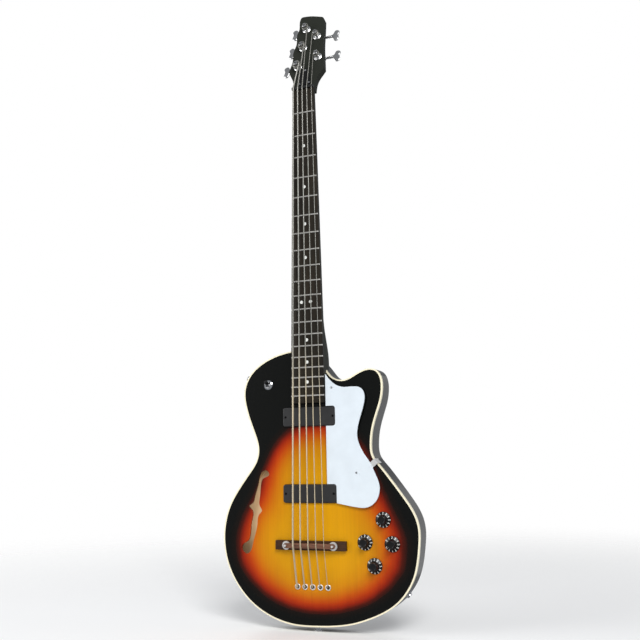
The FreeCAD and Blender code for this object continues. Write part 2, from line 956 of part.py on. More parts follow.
def tuner_gear():
    """The gear wheel on the back end of a post, with one tooth to each gear pitch."""
    points = []
    tooth = ((-0.3, gear_root_radius), (-0.14, gear_radius), (0.14, gear_radius), (0.3, gear_root_radius))
    for step in range(gear_teeth):
        for share, radius in tooth:
            angle = 2 * math.pi * (step + share) / gear_teeth
            points.append(Vector(radius * math.cos(angle), radius * math.sin(angle), post_bottom()))
    wheel = Part.Face(Part.makePolygon(points + [points[0]])).extrude(up(gear_thickness))
    return wheel.cut(standing_rod(gear_hub_radius, post_bottom() - overrun, overrun))


def worm_offset():
    return gear_radius + worm_gap + worm_radius


def worm_line(side, reach):
    """A point on the axis of the worm, out towards the key."""
    return Vector(side * reach, worm_offset(), -head_thickness - gear_mid_depth)


def ear_middle():
    return worm_half_length + ear_gap + ear_thickness / 2


def tuner_plate(side):
    half = plate_half_width
    low = -head_thickness - plate_thickness
    plate = box(-half, half, -plate_below, plate_above, low, -head_thickness)
    upright = [edge for edge in plate.Edges if abs(edge.tangentAt(edge.FirstParameter).z) > 1 / 2]
    plate = plate.makeFillet(screw_head_radius, upright)
    solid = plate
    for end in (-1, 1):
        middle = end * ear_middle()
        depth = -head_thickness - gear_mid_depth
        ear = box(middle - ear_thickness / 2, middle + ear_thickness / 2, worm_offset() - ear_half_width,
                  worm_offset() + ear_half_width, depth, low)
        crown = rod(ear_half_width, Vector(middle - ear_thickness / 2, worm_offset(), depth),
                    Vector(middle + ear_thickness / 2, worm_offset(), depth))
        solid = solid.fuse(ear).fuse(crown)
    bore = rod(journal_radius + journal_gap, worm_line(side, -overrun), worm_line(side, overrun))
    well = standing_rod(post_radius + post_gap, low - overrun, overrun)
    return solid.cut(bore).cut(well).removeSplitter()


def worm():
    """Rings at the gear's pitch, standing for the thread."""
    pitch = 2 * math.pi * gear_radius / gear_teeth
    turns = int(worm_half_length / pitch)
    ring = ((-0.4, worm_root_radius), (-0.12, worm_radius), (0.12, worm_radius), (0.4, worm_root_radius))
    points = [(0, -worm_half_length), (worm_root_radius, -worm_half_length)]
    for turn in range(-turns, turns + 1):
        points += [(radius, (turn + share) * pitch) for share, radius in ring]
    points += [(worm_root_radius, worm_half_length), (0, worm_half_length)]
    return turned([point for point in points if abs(point[1]) <= worm_half_length])


def key_head():
    """The flat key that the fingers turn: two round lobes on a fan, spread along the neck."""
    half = key_thickness / 2
    reach = key_start + key_lobe_reach
    pieces = [Part.makeCone(half, half * 3 / 4, key_lobe_reach, up(key_start), UP)]
    for lobe_side in (-1, 1):
        middle = Vector(-half, lobe_side * key_lobe_spread, reach)
        pieces.append(Part.makeCylinder(key_lobe_radius, key_thickness, middle, Vector(1, 0, 0)))
    web = key_lobe_spread + key_lobe_radius / 2
    stem = key_stem_radius
    corners = [Vector(-half, -stem, key_start), Vector(-half, stem, key_start),
               Vector(-half, web, reach), Vector(-half, -web, reach)]
    fan = Part.Face(Part.makePolygon(corners + [corners[0]])).extrude(Vector(key_thickness, 0, 0))
    return pieces + [fan]


def worm_key(side):
    """A worm on its shaft, with the key on the outer end."""
    far_ear = ear_middle() + ear_thickness / 2 + ear_gap
    shaft = standing_rod(journal_radius, -far_ear, far_ear)
    stem = standing_rod(key_stem_radius, far_ear, key_start)
    collar = Part.makeCone(key_stem_radius, key_thickness, key_thickness, up(key_start - key_thickness), UP)
    solid = joined([worm(), shaft, stem, collar] + key_head())
    lay = Rotation(UP, Vector(side, 0, 0))
    return moved(solid, Placement(worm_line(side, 0), lay))


# Strings

def arc_between(start, heading, end):
    """An arc that leaves the start along a heading, the next heading, and the arc's edge."""
    chord = end - start
    inward = chord - heading * chord.dot(heading)
    inward.normalize()
    radius = chord.dot(chord) / (2 * chord.dot(inward))
    centre = start + inward * radius
    middle = (start - centre) + (end - centre)
    middle.normalize()
    middle = centre + middle * radius
    next_heading = chord * (2 * chord.dot(heading) / chord.dot(chord)) - heading
    return Part.Arc(start, middle, end).toShape(), next_heading


def biarc(start, start_heading, end, end_heading):
    """Two arcs that meet smoothly half way between two points with given headings."""
    chord = end - start
    both = start_heading + end_heading
    square = 2 * (start_heading.dot(end_heading) - 1)
    linear = -2 * chord.dot(both)
    constant = chord.dot(chord)
    reach = (-linear - math.sqrt(linear ** 2 - 4 * square * constant)) / (2 * square)
    meeting = (start + start_heading * reach + end - end_heading * reach) * (1 / 2)
    first, heading = arc_between(start, start_heading, meeting)
    second, heading = arc_between(meeting, heading, end)
    return [first, second]


def wrap_radius(number):
    return post_radius + string_gap + string_diameters[number] / 2


def wrap_point(number, angle):
    """A point on the winding round a post, in the headstock's own axes."""
    x, y, side = tuner_places[number]
    drop = (string_diameters[number] + wrap_gap) * abs(angle - start_angle(number)) / (2 * math.pi)
    radius = wrap_radius(number)
    return Vector(x + radius * math.cos(angle), y + radius * math.sin(angle), wrap_start - drop)


def start_angle(number):
    """Where the string first touches its post, on the side nearer the middle of the head."""
    x, y, side = tuner_places[number]
    start = on_head().inverse().multVec(nut_point(number))
    away = math.atan2(start.y - y, start.x - x)
    lean = math.acos(wrap_radius(number) / math.hypot(start.x - x, start.y - y))
    return away - side * lean


def wrap_heading(number, angle):
    """Direction of the winding, which goes clockwise on the treble side."""
    side = tuner_places[number][2]
    drop = (string_diameters[number] + wrap_gap) / (2 * math.pi)
    radius = wrap_radius(number)
    heading = Vector(side * radius * math.sin(angle), -side * radius * math.cos(angle), -drop)
    heading.normalize()
    return heading


def wound_end(number):
    """The string's turns round its post, as one tube on arcs."""
    side = tuner_places[number][2]
    quarter = -side * math.pi / 2
    edges = []
    angle = start_angle(number)
    for step in range(int(wrap_turns * 4)):
        following = angle + quarter
        edges += biarc(wrap_point(number, angle), wrap_heading(number, angle),
                       wrap_point(number, following), wrap_heading(number, following))
        angle = following
    path = Part.Wire(edges)
    start = wrap_point(number, start_angle(number))
    circle = Part.makeCircle(string_diameters[number] / 2, start, wrap_heading(number, start_angle(number)))
    tube = path.makePipeShell([Part.Wire([circle])], True, False)
    return moved(tube, on_head())


@functools.cache
def string_route(number):
    """The points where a string bends: ball end, ferrule, saddle, nut and post."""
    mouth = ferrule_point(number)
    ball = Vector(mouth.x, back_face - ferrule_flange_thickness - ball_radius, mouth.z)
    post = on_head().multVec(wrap_point(number, start_angle(number)))
    return [ball, mouth, saddle_point(number), nut_point(number), post]


def string(number):
    """One string, from its ball end through the body, over the saddle and nut, and round its post.

    Each bend is a ball a hair thicker than the string, so that its runs join cleanly.
    """
    radius = string_diameters[number] / 2
    route = string_route(number)
    pieces = [Part.makeSphere(ball_radius, route[0]), wound_end(number)]
    for step in range(len(route) - 1):
        pieces.append(rod(radius, route[step], route[step + 1]))
        pieces.append(Part.makeSphere(radius + bend_swell, route[step + 1]))
    return pieces[0].multiFuse(pieces[1:])


def print_winding_gaps():
    for number, diameter in enumerate(string_diameters):
        points = [wrap_point(number, start_angle(number) + math.radians(10 * step)) for step in range(64)]
        least = min((points[a] - points[b]).Length for a in range(64) for b in range(a + 18, 64))
        print("winding", number + 1, "least gap to itself", round(least - diameter, 2))


# Bridge and ferrules

def bridge_foot():
    low = saddle_height - foot_width / 2
    bar = box(-foot_half_length, foot_half_length, foot_face, dome_front + overrun, low, low + foot_width)
    bar = bar.cut(dome(0))
    return without(bar, bridge_studs())


def wheel_back():
    """Underside of a thumbwheel, raised off the foot by its whole travel and a little more."""
    return foot_face - wheel_travel - string_gap


def stud_top():
    return saddle_crest() - stud_rise


def saddle_crest():
    return board_face - fret_height - saddle_action - saddle_slot_depth


def bridge_studs():
    studs = []
    for side in (-1, 1):
        x = side * stud_half_spread
        start = dome_point(x, saddle_height) + FRONT * seat_gap
        studs.append(rod(stud_radius, start, Vector(x, stud_top(), saddle_height)))
    return studs


def thumbwheel(side):
    wheel = standing_tube(wheel_radius, stud_radius + wheel_running_gap, 0, wheel_thickness)
    grips = []
    for step in range(wheel_grip_count):
        angle = 2 * math.pi * step / wheel_grip_count
        middle = Vector(wheel_radius * math.cos(angle), wheel_radius * math.sin(angle), -overrun)
        grips.append(rod(wheel_grip_radius, middle, middle + up(overrun + overrun)))
    wheel = without(wheel, grips)
    place = Placement(Vector(side * stud_half_spread, wheel_back(), saddle_height), Rotation(UP, FRONT))
    return moved(wheel, place)


def bridge_saddle():
    base = wheel_back() - wheel_thickness
    crest = saddle_crest()
    half = saddle_width / 2
    ridge = saddle_crest_width / 2
    shoulder = crest + saddle_shoulder
    end = stud_half_spread
    section = [(half, base), (half, shoulder), (ridge, crest), (-ridge, crest), (-half, shoulder),
               (-half, base)]
    corners = [Vector(-end, y, saddle_height + z) for z, y in section]
    bar = Part.Face(Part.makePolygon(corners + [corners[0]])).extrude(Vector(end + end, 0, 0))
    bar = bar.common(board_arch(board_face - crest))
    for side in (-1, 1):
        seat = Vector(side * end, base, saddle_height)
        bar = bar.fuse(rod(half, seat, seat + FRONT * (base - shoulder - saddle_shoulder)))
    cutters = string_slots(2)
    for side in (-1, 1):
        seat = Vector(side * end, base + overrun, saddle_height)
        cutters.append(rod(stud_radius + string_gap, seat, seat + FRONT * (overrun + overrun)))
    return without(bar, cutters).removeSplitter()


def top_ferrules():
    ferrules = []
    for number in range(len(string_diameters)):
        x = string_across(number, ferrule_string_spread)
        mouth = dome_point(x, ferrule_height)
        rise = FRONT * ferrule_flange_thickness
        flange = rod(ferrule_flange_radius, mouth - rise, mouth + rise).cut(dome(0))
        sleeve = rod(ferrule_sleeve_radius, mouth - FRONT * ferrule_sleeve_length, mouth)
        hole = rod(ferrule_hole_radius, mouth - FRONT * overrun, mouth + FRONT * overrun)
        ferrules.append(flange.fuse(sleeve).cut(hole).removeSplitter())
    return ferrules


def back_ferrules():
    ferrules = []
    for number in range(len(string_diameters)):
        back = Vector(string_across(number, ferrule_string_spread), back_face, ferrule_height)
        flange = rod(ferrule_flange_radius, back + FRONT * ferrule_flange_thickness, back)
        sleeve = rod(ferrule_sleeve_radius, back + FRONT * ferrule_sleeve_length, back)
        hole = rod(ferrule_hole_radius, back + FRONT * overrun, back - FRONT * overrun)
        bottom = ferrule_flange_thickness + ball_radius + ball_radius + string_gap
        well = rod(ball_radius + string_gap, back + FRONT * bottom, back - FRONT * overrun)
        ferrules.append(flange.fuse(sleeve).cut(hole).cut(well).removeSplitter())
    return ferrules


# Pickups and pickguard

def neck_pickup():
    cover = pickup_box(neck_pickup_height, neck_pickup_width, neck_pickup_face, 0)
    return without(cover, small_screws())


def bridge_pickup():
    cover = pickup_box(bridge_pickup_height, bridge_pickup_width, bridge_pickup_face, 0)
    return without(cover, small_screws())


def pickguard():
    """The raised guard: a curved outer edge, a straight edge by the strings, and a notch at each pickup."""
    points = [Vector(guard_edge + x * guard_length, guard_face, guard_base_height + z * guard_length)
              for x, z in guard_edge_shares]
    curve = Part.BSplineCurve()
    curve.interpolate(Points=points)
    start = points[-1]
    low = Vector(guard_edge, guard_face, start.z)
    face = Part.Face(Part.Wire([curve.toShape(), Part.makeLine(start, low), Part.makeLine(low, points[0])]))
    plate = face.extrude(Vector(0, guard_thickness, 0))
    notches = [
        pickup_box(neck_pickup_height, neck_pickup_width, front_limit(), guard_notch_gap),
        pickup_box(bridge_pickup_height, bridge_pickup_width, front_limit(), guard_notch_gap),
    ]
    return without(plate, notches + small_screws())


def pickguard_spacer():
    x, z = guard_upper_screw
    start = Vector(x, guard_face + guard_thickness, z)
    spacer = rod(spacer_radius, start, start - FRONT * overrun).cut(dome(0))
    return without(spacer, small_screws())


def pickguard_bracket():
    """A strip under the guard that crosses the top and turns down over the rim."""
    rim = on_rim(bracket_crossing)
    front = guard_face + guard_thickness
    back = front + bracket_thickness
    half = bracket_width / 2
    strip = box(-half, half, front, back, -bracket_reach, bracket_thickness)
    leg = box(-half, half, front, bracket_leg_end, 0, bracket_thickness)
    arm = moved(strip.fuse(leg), rim)
    x, z = guard_lower_screw
    tab = rod(bracket_tab_radius, Vector(x, front, z), Vector(x, back, z))
    solid = arm.fuse(tab).removeSplitter().cut(body_envelope())
    return without(solid, small_screws())


# Controls

def hexagon_nut(radius, bore, low, thickness):
    corners = []
    for step in range(7):
        angle = math.radians(60 * step)
        corners.append(Vector(radius * math.cos(angle), radius * math.sin(angle), low))
    block = Part.Face(Part.makePolygon(corners)).extrude(up(thickness))
    return block.cut(standing_rod(bore, low - overrun, low + overrun))


def potentiometer():
    top = -top_thickness - seat_gap
    points = ((0, top - pot_depth), (pot_radius, top - pot_depth), (pot_radius, top), (bushing_radius, top),
              (bushing_radius, bushing_rise), (shaft_radius + shaft_gap, bushing_rise),
              (shaft_radius + shaft_gap, top - pot_depth + shaft_radius), (0, top - pot_depth + shaft_radius))
    return turned(points)


def potentiometers():
    return [moved(potentiometer(), on_top(x, z)) for name, x, z in knob_places]


def panel_nuts():
    nuts = []
    for name, x, z in knob_places:
        nut_shape = hexagon_nut(panel_nut_radius, bushing_radius, 0, panel_nut_thickness)
        nuts.append(moved(nut_shape, on_top(x, z)).cut(dome(0)))
    nut_shape = hexagon_nut(panel_nut_radius, bushing_radius, 0, panel_nut_thickness)
    nuts.append(moved(nut_shape, on_rim(jack_toward)).cut(body_envelope()))
    return nuts


def knob():
    """A skirted knob and, inside it, the split shaft that it turns with."""
    cavity = knob_lift + knob_cavity_height
    inner = bushing_radius + shaft_gap + shaft_gap + shaft_gap
    collar = bushing_rise + knob_lift
    points = ((knob_cavity_radius, knob_lift), (knob_skirt_radius, knob_lift),
              (knob_skirt_radius, knob_lift + knob_skirt_edge),
              (knob_cap_radius, knob_cone_height + knob_lift), (knob_cap_top_radius, knob_height),
              (0, knob_height), (0, shaft_rise), (shaft_radius, shaft_rise), (shaft_radius, collar),
              (inner, collar), (inner, cavity), (knob_cavity_radius, cavity))
    body = turned(points)
    flutes = []
    low = knob_cone_height + knob_skirt_edge
    for step in range(knob_flute_count):
        angle = 2 * math.pi * step / knob_flute_count
        middle = Vector(knob_cap_radius * math.cos(angle), knob_cap_radius * math.sin(angle), low)
        flutes.append(rod(knob_flute_radius, middle, middle + up(knob_height)))
    body = without(body, flutes)
    bottom = -top_thickness - pot_depth + shaft_radius + shaft_gap
    shaft = standing_rod(shaft_radius, bottom, shaft_rise)
    half = shaft_split / 2
    split = box(-overrun, overrun, -half, half, bushing_rise + knob_lift, shaft_rise + overrun)
    return [body, shaft.cut(split)]


def toggle_switch():
    """The switch's box under the top, with the threaded bushing that comes up through it."""
    top = -top_thickness - seat_gap
    half_width = switch_body_width / 2
    half_length = switch_body_length / 2
    body = box(-half_width, half_width, -half_length, half_length, top - switch_body_depth, top)
    bushing = standing_rod(switch_bushing_radius, top, switch_bushing_rise)
    seat = switch_ball_radius + string_gap
    floor = -switch_pivot_depth - switch_ball_radius - string_gap
    bore = standing_rod(seat, floor, overrun).fuse(standing_rod(switch_bore_radius, 0, overrun))
    pin_end = Vector(switch_pin_half_length + string_gap, 0, -switch_pivot_depth)
    pin_start = pin_end - Vector(2 * pin_end.x, 0, 0)
    pin_hole = rod(switch_pin_radius + shaft_gap, pin_start, pin_end)
    return body.fuse(bushing).cut(bore).cut(pin_hole).removeSplitter()


def toggle_nut():
    points = ((switch_bushing_radius, 0), (switch_nut_radius, 0),
              (switch_nut_radius, switch_nut_thickness / 2),
              (switch_bushing_radius + switch_ball_radius / 4, switch_nut_thickness),
              (switch_bushing_radius, switch_nut_thickness))
    place = on_top(switch_place[0], switch_place[1])
    return moved(turned(points), place).cut(dome(0))


def toggle_pieces():
    """The lever on its ball and pivot pin, and the tip pressed on it, leaning as in the photograph."""
    stem = standing_rod(switch_lever_radius, 0, switch_lever_length)
    pin_end = Vector(switch_pin_half_length, 0, 0)
    lever = Part.makeSphere(switch_ball_radius).fuse(stem).fuse(rod(switch_pin_radius, -pin_end, pin_end))
    low = switch_lever_length - switch_tip_length
    full = switch_lever_length - switch_tip_length * 0.4
    end = switch_lever_length + switch_lever_radius
    throat = switch_tip_radius * 0.6
    points = ((switch_lever_radius, low), (throat, low), (switch_tip_radius, full),
              (switch_tip_radius, switch_lever_length), (throat, end), (0, end),
              (0, switch_lever_length), (switch_lever_radius, switch_lever_length))
    tip = turned(points)
    lean = Placement(up(-switch_pivot_depth), Rotation(Vector(-1, 0, 0), switch_lean))
    place = on_top(switch_place[0], switch_place[1]).multiply(lean)
    return moved(lever, place), moved(tip, place)


def output_jack():
    inside = -rim_thickness
    end = inside - jack_body_length
    points = ((0, end), (jack_body_radius, end), (jack_body_radius, inside), (bushing_radius, inside),
              (bushing_radius, jack_rise), (jack_bore_radius, jack_rise), (jack_bore_radius, end + jack_wall),
              (0, end + jack_wall))
    body = moved(turned(points), on_rim(jack_toward))
    ring = shell_ring(0, rim_thickness, front_limit(), back_face)
    hole = moved(standing_rod(bushing_radius, -overrun, overrun), on_rim(jack_toward))
    return without(body, [ring.cut(hole)])


# Strap buttons

def tail_button_place():
    return Placement(Vector(0, 0, 0), Rotation(UP, Vector(0, 0, -1)))


def shoulder_button_place():
    return on_rim(button_toward)


def strap_screw_head():
    return button_length - button_edge


def strap_screw_blank():
    head = strap_screw_head()
    neck_of_head = head - button_screw_head_radius + button_screw_radius
    points = ((0, -button_screw_length), (button_screw_radius, button_screw_radius - button_screw_length),
              (button_screw_radius, neck_of_head), (button_screw_head_radius, head), (0, head))
    return turned(points)


def strap_screw():
    half = screw_cross_width / 2
    reach = button_screw_head_radius / 2
    low = strap_screw_head() - screw_cross_width
    bar = box(-reach, reach, -half, half, low, low + overrun)
    other = box(-half, half, -reach, reach, low, low + overrun)
    return strap_screw_blank().cut(bar).cut(other)


def strap_screw_hole(place):
    return moved(standing_rod(button_screw_radius, -button_screw_length, overrun), place)


def strap_button():
    edge = button_edge
    top = button_length
    points = ((0, -edge), (button_base_radius, -edge), (button_base_radius, edge),
              (button_waist_radius, edge * 2), (button_waist_radius, top - edge * 2),
              (button_rim_radius, top - edge), (button_rim_radius - edge / 2, top),
              (button_screw_head_radius, top), (button_screw_head_radius, top - edge), (0, top - edge))
    return turned(points)


def strap_buttons():
    places = (tail_button_place(), shoulder_button_place())
    screws = [moved(strap_screw(), place) for place in places]
    buttons = [moved(strap_button(), place).cut(body_envelope()) for place in places]
    blanks = [moved(strap_screw_blank(), place) for place in places]
    return [without(button, blanks) for button in buttons], screws


# All sub-parts under their names

def save(name, shapes):
    """Write one node, made of one solid or of several that are kept apart."""
    solids = []
    for shape in shapes:
        solids += shape.Solids
    shape = solids[0] if len(solids) == 1 else Part.makeCompound(solids)
    shape.exportStep("parts/" + name + ".step")


def main():
    os.makedirs("parts", exist_ok=True)
    save("body_top", [body_top()])
    save("body_back", [body_back()])
    save("top_binding", [top_binding()])
    rim_bass, rim_treble = rims()
    save("rim_bass", [rim_bass])
    save("rim_treble", [rim_treble])
    save("top_linings", [top_linings()])
    save("back_linings", [back_linings()])
    save("center_block", [center_block()])
    save("strap_block", [strap_block()])
    save("neck", [neck()])
    save("fretboard", [fretboard()])
    save("frets", frets())
    save("position_dots", position_dots())
    save("nut", [nut()])
    save("truss_rod", [truss_rod()])
    save("truss_rod_cover", [truss_rod_cover()])
    save("small_screws", small_screws())
    plates = []
    bushings = []
    for number, place in enumerate(tuner_places):
        spot = tuner_spot(number)
        label = str(number + 1)
        plates.append(moved(tuner_plate(place[2]), spot).cut(Part.makeCompound(small_screws())))
        bushings.append(moved(tuner_bushing(), spot))
        save("tuner_post_" + label, [moved(tuner_post(), spot)])
        save("tuner_gear_" + label, [moved(tuner_gear(), spot)])
        save("tuner_key_" + label, [moved(worm_key(place[2]), spot)])
    save("tuner_plates", plates)
    save("tuner_bushings", bushings)
    save("strings", [string(number) for number in range(len(string_diameters))])
    print_winding_gaps()
    save("bridge_foot", [bridge_foot()])
    save("bridge_studs", bridge_studs())
    save("bridge_saddle", [bridge_saddle()])
    save("thumbwheel_bass", [thumbwheel(-1)])
    save("thumbwheel_treble", [thumbwheel(1)])
    save("top_ferrules", top_ferrules())
    save("back_ferrules", back_ferrules())
    save("neck_pickup", [neck_pickup()])
    save("bridge_pickup", [bridge_pickup()])
    save("pickguard", [pickguard()])
    save("pickguard_spacer", [pickguard_spacer()])
    save("pickguard_bracket", [pickguard_bracket()])
    save("potentiometers", potentiometers())
    save("panel_nuts", panel_nuts())
    for name, x, z in knob_places:
        save(name, [moved(piece, on_top(x, z)) for piece in knob()])
    save("toggle_switch", [moved(toggle_switch(), on_top(switch_place[0], switch_place[1]))])
    save("toggle_nut", [toggle_nut()])
    lever, tip = toggle_pieces()
    save("toggle_lever", [lever])
    save("toggle_tip", [tip])
    save("output_jack", [output_jack()])
    buttons, screws = strap_buttons()
    save("strap_buttons", buttons)
    save("strap_screws", screws)


main()
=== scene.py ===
# %% [markdown]
# # A five-string acoustic bass guitar, dressed over its CAD frame
#
# The CAD model already holds every part of this bass at its true size, so this lesson
# dresses it: finishes for the solids that stay, and finer meshes for the pieces whose
# edges, turnings and printed numbers a CAD solid leaves plain. One could model the whole
# bass again in Blender, but then a knob could drift away from the shaft that it turns on.
# Starting from the frame keeps each piece on its real place and its real joint.

# %% Load the frame
import bpy
import math
from mathutils import Matrix, Vector


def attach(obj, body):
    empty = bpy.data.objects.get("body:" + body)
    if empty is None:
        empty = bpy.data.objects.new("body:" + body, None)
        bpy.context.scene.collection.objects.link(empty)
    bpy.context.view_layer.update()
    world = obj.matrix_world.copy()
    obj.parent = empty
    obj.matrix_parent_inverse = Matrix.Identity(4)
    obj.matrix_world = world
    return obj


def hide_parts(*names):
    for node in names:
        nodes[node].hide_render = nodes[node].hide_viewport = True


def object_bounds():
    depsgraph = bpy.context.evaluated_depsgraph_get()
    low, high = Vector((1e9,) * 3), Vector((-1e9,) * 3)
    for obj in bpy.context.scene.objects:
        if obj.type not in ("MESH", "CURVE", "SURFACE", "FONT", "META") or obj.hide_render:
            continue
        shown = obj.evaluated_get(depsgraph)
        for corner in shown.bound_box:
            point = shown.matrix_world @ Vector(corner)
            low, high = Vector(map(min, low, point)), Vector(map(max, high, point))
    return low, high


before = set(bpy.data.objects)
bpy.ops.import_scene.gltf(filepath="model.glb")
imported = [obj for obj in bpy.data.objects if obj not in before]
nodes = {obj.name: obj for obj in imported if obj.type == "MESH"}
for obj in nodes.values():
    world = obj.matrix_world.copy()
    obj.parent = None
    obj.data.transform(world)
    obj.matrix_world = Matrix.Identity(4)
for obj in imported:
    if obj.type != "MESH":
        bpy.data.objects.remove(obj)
cad_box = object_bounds()
MM = 0.001
print("CAD nodes:", len(nodes), "box:", [round(v, 3) for v in (*cad_box[0], *cad_box[1])])

# %% [markdown]
# ## Camera
#
# The photograph looks at the bass from its treble side, from low down. The camera was
# found by lining up the frets, whose spacing is known, with the photograph. A camera
# could be aimed with a Track To constraint, but three plain directions written into its
# matrix are exact, and nothing is left that could turn it again.

# %% Camera
camera_place = Vector((0.55721, -1.38934, 0.29732))
camera_ahead = Vector((-0.35939, 0.91858, 0.16447)).normalized()
camera_up = Vector((0.07699, -0.14646, 0.98622))
camera_right = camera_ahead.cross(camera_up).normalized()
camera_up = camera_right.cross(camera_ahead)
camera_data = bpy.data.cameras.new("camera")
camera_data.lens = 45.397
camera_data.sensor_width = 36
camera = bpy.data.objects.new("camera", camera_data)
camera.matrix_world = Matrix.Translation(camera_place) @ Matrix(
    (camera_right, camera_up, -camera_ahead)).transposed().to_4x4()
bpy.context.scene.collection.objects.link(camera)
bpy.context.scene.camera = camera
bpy.context.scene.view_settings.view_transform = "Standard"
print("camera at", [round(v, 3) for v in camera_place])

# %% [markdown]
# ## Soft studio light and a pale floor
#
# Gloss lacquer shows its surroundings, so the light matters as much as the paint. Large
# area lamps give the long, quiet reflections of a studio. The floor is a disc that fades
# out with distance, so no horizon line crosses behind the body. A curved paper backdrop
# would also hide the horizon, but it would stand in the way of the views from the back.
# The floor lights the bass but is kept out of its reflections, as a photographer's black
# card would do, because a white floor in the polish turns black lacquer grey.

# %% World, lamps and floor
def new_material(name):
    """A node material, with its tree and its Principled shader."""
    material = bpy.data.materials.new(name)
    material.use_nodes = True
    tree = material.node_tree
    return material, tree, tree.nodes["Principled BSDF"]


def node(tree, kind, **values):
    """A shader node with its settings, and its unlinked inputs given by name."""
    made = tree.nodes.new(kind)
    for name, value in values.items():
        if hasattr(made, name):
            setattr(made, name, value)
        else:
            made.inputs[name.replace("_", " ")].default_value = value
    return made


world = bpy.data.worlds.new("studio")
world.use_nodes = True
bpy.context.scene.world = world
air = world.node_tree
air.nodes["Background"].inputs["Color"].default_value = (0.80, 0.83, 0.87, 1)
air.nodes["Background"].inputs["Strength"].default_value = 0.30
white = node(air, "ShaderNodeBackground", Color=(1, 1, 1, 1), Strength=1.0)
rays = node(air, "ShaderNodeLightPath")
choice = node(air, "ShaderNodeMixShader")
air.links.new(rays.outputs["Is Camera Ray"], choice.inputs[0])
air.links.new(air.nodes["Background"].outputs[0], choice.inputs[1])
air.links.new(white.outputs[0], choice.inputs[2])
air.links.new(choice.outputs[0], air.nodes["World Output"].inputs["Surface"])


def lamp(name, place, aim, size, watts):
    """A rectangular area lamp that stands at a place and faces its aim."""
    data = bpy.data.lights.new(name, "AREA")
    data.shape = "RECTANGLE"
    data.size = size[0]
    data.size_y = size[1]
    data.energy = watts
    lit = bpy.data.objects.new(name, data)
    lit.matrix_world = Matrix.Translation(place) @ (
        Vector(aim) - Vector(place)).to_track_quat("-Z", "Y").to_matrix().to_4x4()
    bpy.context.scene.collection.objects.link(lit)
    return lit


middle_of_bass = (0.0, 0.0, 0.5)
lamp("key_light", (1.3, -2.2, 2.1), middle_of_bass, (1.4, 1.4), 74)
lamp("fill_light", (-2.4, -1.6, 1.2), middle_of_bass, (1.8, 2.2), 38)
lamp("side_light", (2.4, 0.5, 0.6), middle_of_bass, (0.7, 2.0), 5)
lamp("back_light", (-1.9, 2.3, 1.9), middle_of_bass, (1.8, 1.8), 34)
lamp("rim_card", (1.1, 2.3, 0.5), middle_of_bass, (1.4, 2.4), 3.5)

# A weak lamp inside the body, behind the f-hole, lights the bare wood of the back
behind_f_hole = (-0.112, -0.012, 0.196)
back_through_f_hole = (-0.112, 1.0, 0.196)
lamp("sound_hole_glow", behind_f_hole, back_through_f_hole, (0.04, 0.12), 0.024)

floor_height = cad_box[0].z
floor_radius = 4
fade_start = 0.35
fade_end = 2.2
bpy.ops.mesh.primitive_circle_add(vertices=96, radius=floor_radius, fill_type="NGON",
                                  location=(0, 0, floor_height))
floor = bpy.context.object
floor.name = "floor"
floor_paper, tree, shader = new_material("floor_paper")
shader.inputs["Base Color"].default_value = (0.97, 0.97, 0.97, 1)
shader.inputs["Roughness"].default_value = 0.9
where = node(tree, "ShaderNodeTexCoord")
far = node(tree, "ShaderNodeVectorMath", operation="LENGTH")
fade = node(tree, "ShaderNodeMapRange", interpolation_type="SMOOTHSTEP")
fade.inputs["From Min"].default_value = fade_start
fade.inputs["From Max"].default_value = fade_end
tree.links.new(where.outputs["Object"], far.inputs[0])
tree.links.new(far.outputs["Value"], fade.inputs["Value"])
glass = node(tree, "ShaderNodeBsdfTransparent")
blend = node(tree, "ShaderNodeMixShader")
tree.links.new(fade.outputs[0], blend.inputs[0])
tree.links.new(shader.outputs[0], blend.inputs[1])
tree.links.new(glass.outputs[0], blend.inputs[2])
tree.links.new(blend.outputs[0], tree.nodes["Material Output"].inputs["Surface"])
floor.data.materials.append(floor_paper)
floor.visible_glossy = False
print("floor at", round(floor_height, 4))

# %% [markdown]
# ## The sunburst
#
# The top is stained amber in the middle and sprayed red-brown, then black, toward the
# edge, and then it is lacquered and polished. The burst isn't a copy of the outline: its
# amber is a broad egg in the lower bout with a point that runs up under the strings. Two
# stretched circles, melted together with a smooth minimum, give that shape as a distance
# in metres, and a colour ramp turns the distance into stain. An image would be quicker,
# but a formula keeps the fade clean at any size.

# %% The sunburst's distance field
def wood_position(tree):
    """The point in the frame's own metres."""
    return node(tree, "ShaderNodeTexCoord").outputs["Object"]


def one_axis(tree, place, axis):
    """The X, Y or Z of a point, as a socket."""
    parts = node(tree, "ShaderNodeSeparateXYZ")
    tree.links.new(place, parts.inputs[0])
    return parts.outputs[axis]


def stretched_circle(tree, place, centre, reach):
    """Distance outside an ellipse in X and Z, roughly in metres."""
    moved = node(tree, "ShaderNodeVectorMath", operation="SUBTRACT")
    moved.inputs[1].default_value = (centre[0], 0, centre[1])
    scaled = node(tree, "ShaderNodeVectorMath", operation="MULTIPLY")
    scaled.inputs[1].default_value = (1 / reach[0], 0, 1 / reach[1])
    length = node(tree, "ShaderNodeVectorMath", operation="LENGTH")
    size = math.sqrt(reach[0] * reach[1])
    out = node(tree, "ShaderNodeMath", operation="MULTIPLY_ADD")
    out.inputs[1].default_value = size
    out.inputs[2].default_value = -size
    tree.links.new(place, moved.inputs[0])
    tree.links.new(moved.outputs[0], scaled.inputs[0])
    tree.links.new(scaled.outputs[0], length.inputs[0])
    tree.links.new(length.outputs["Value"], out.inputs[0])
    return out.outputs[0]


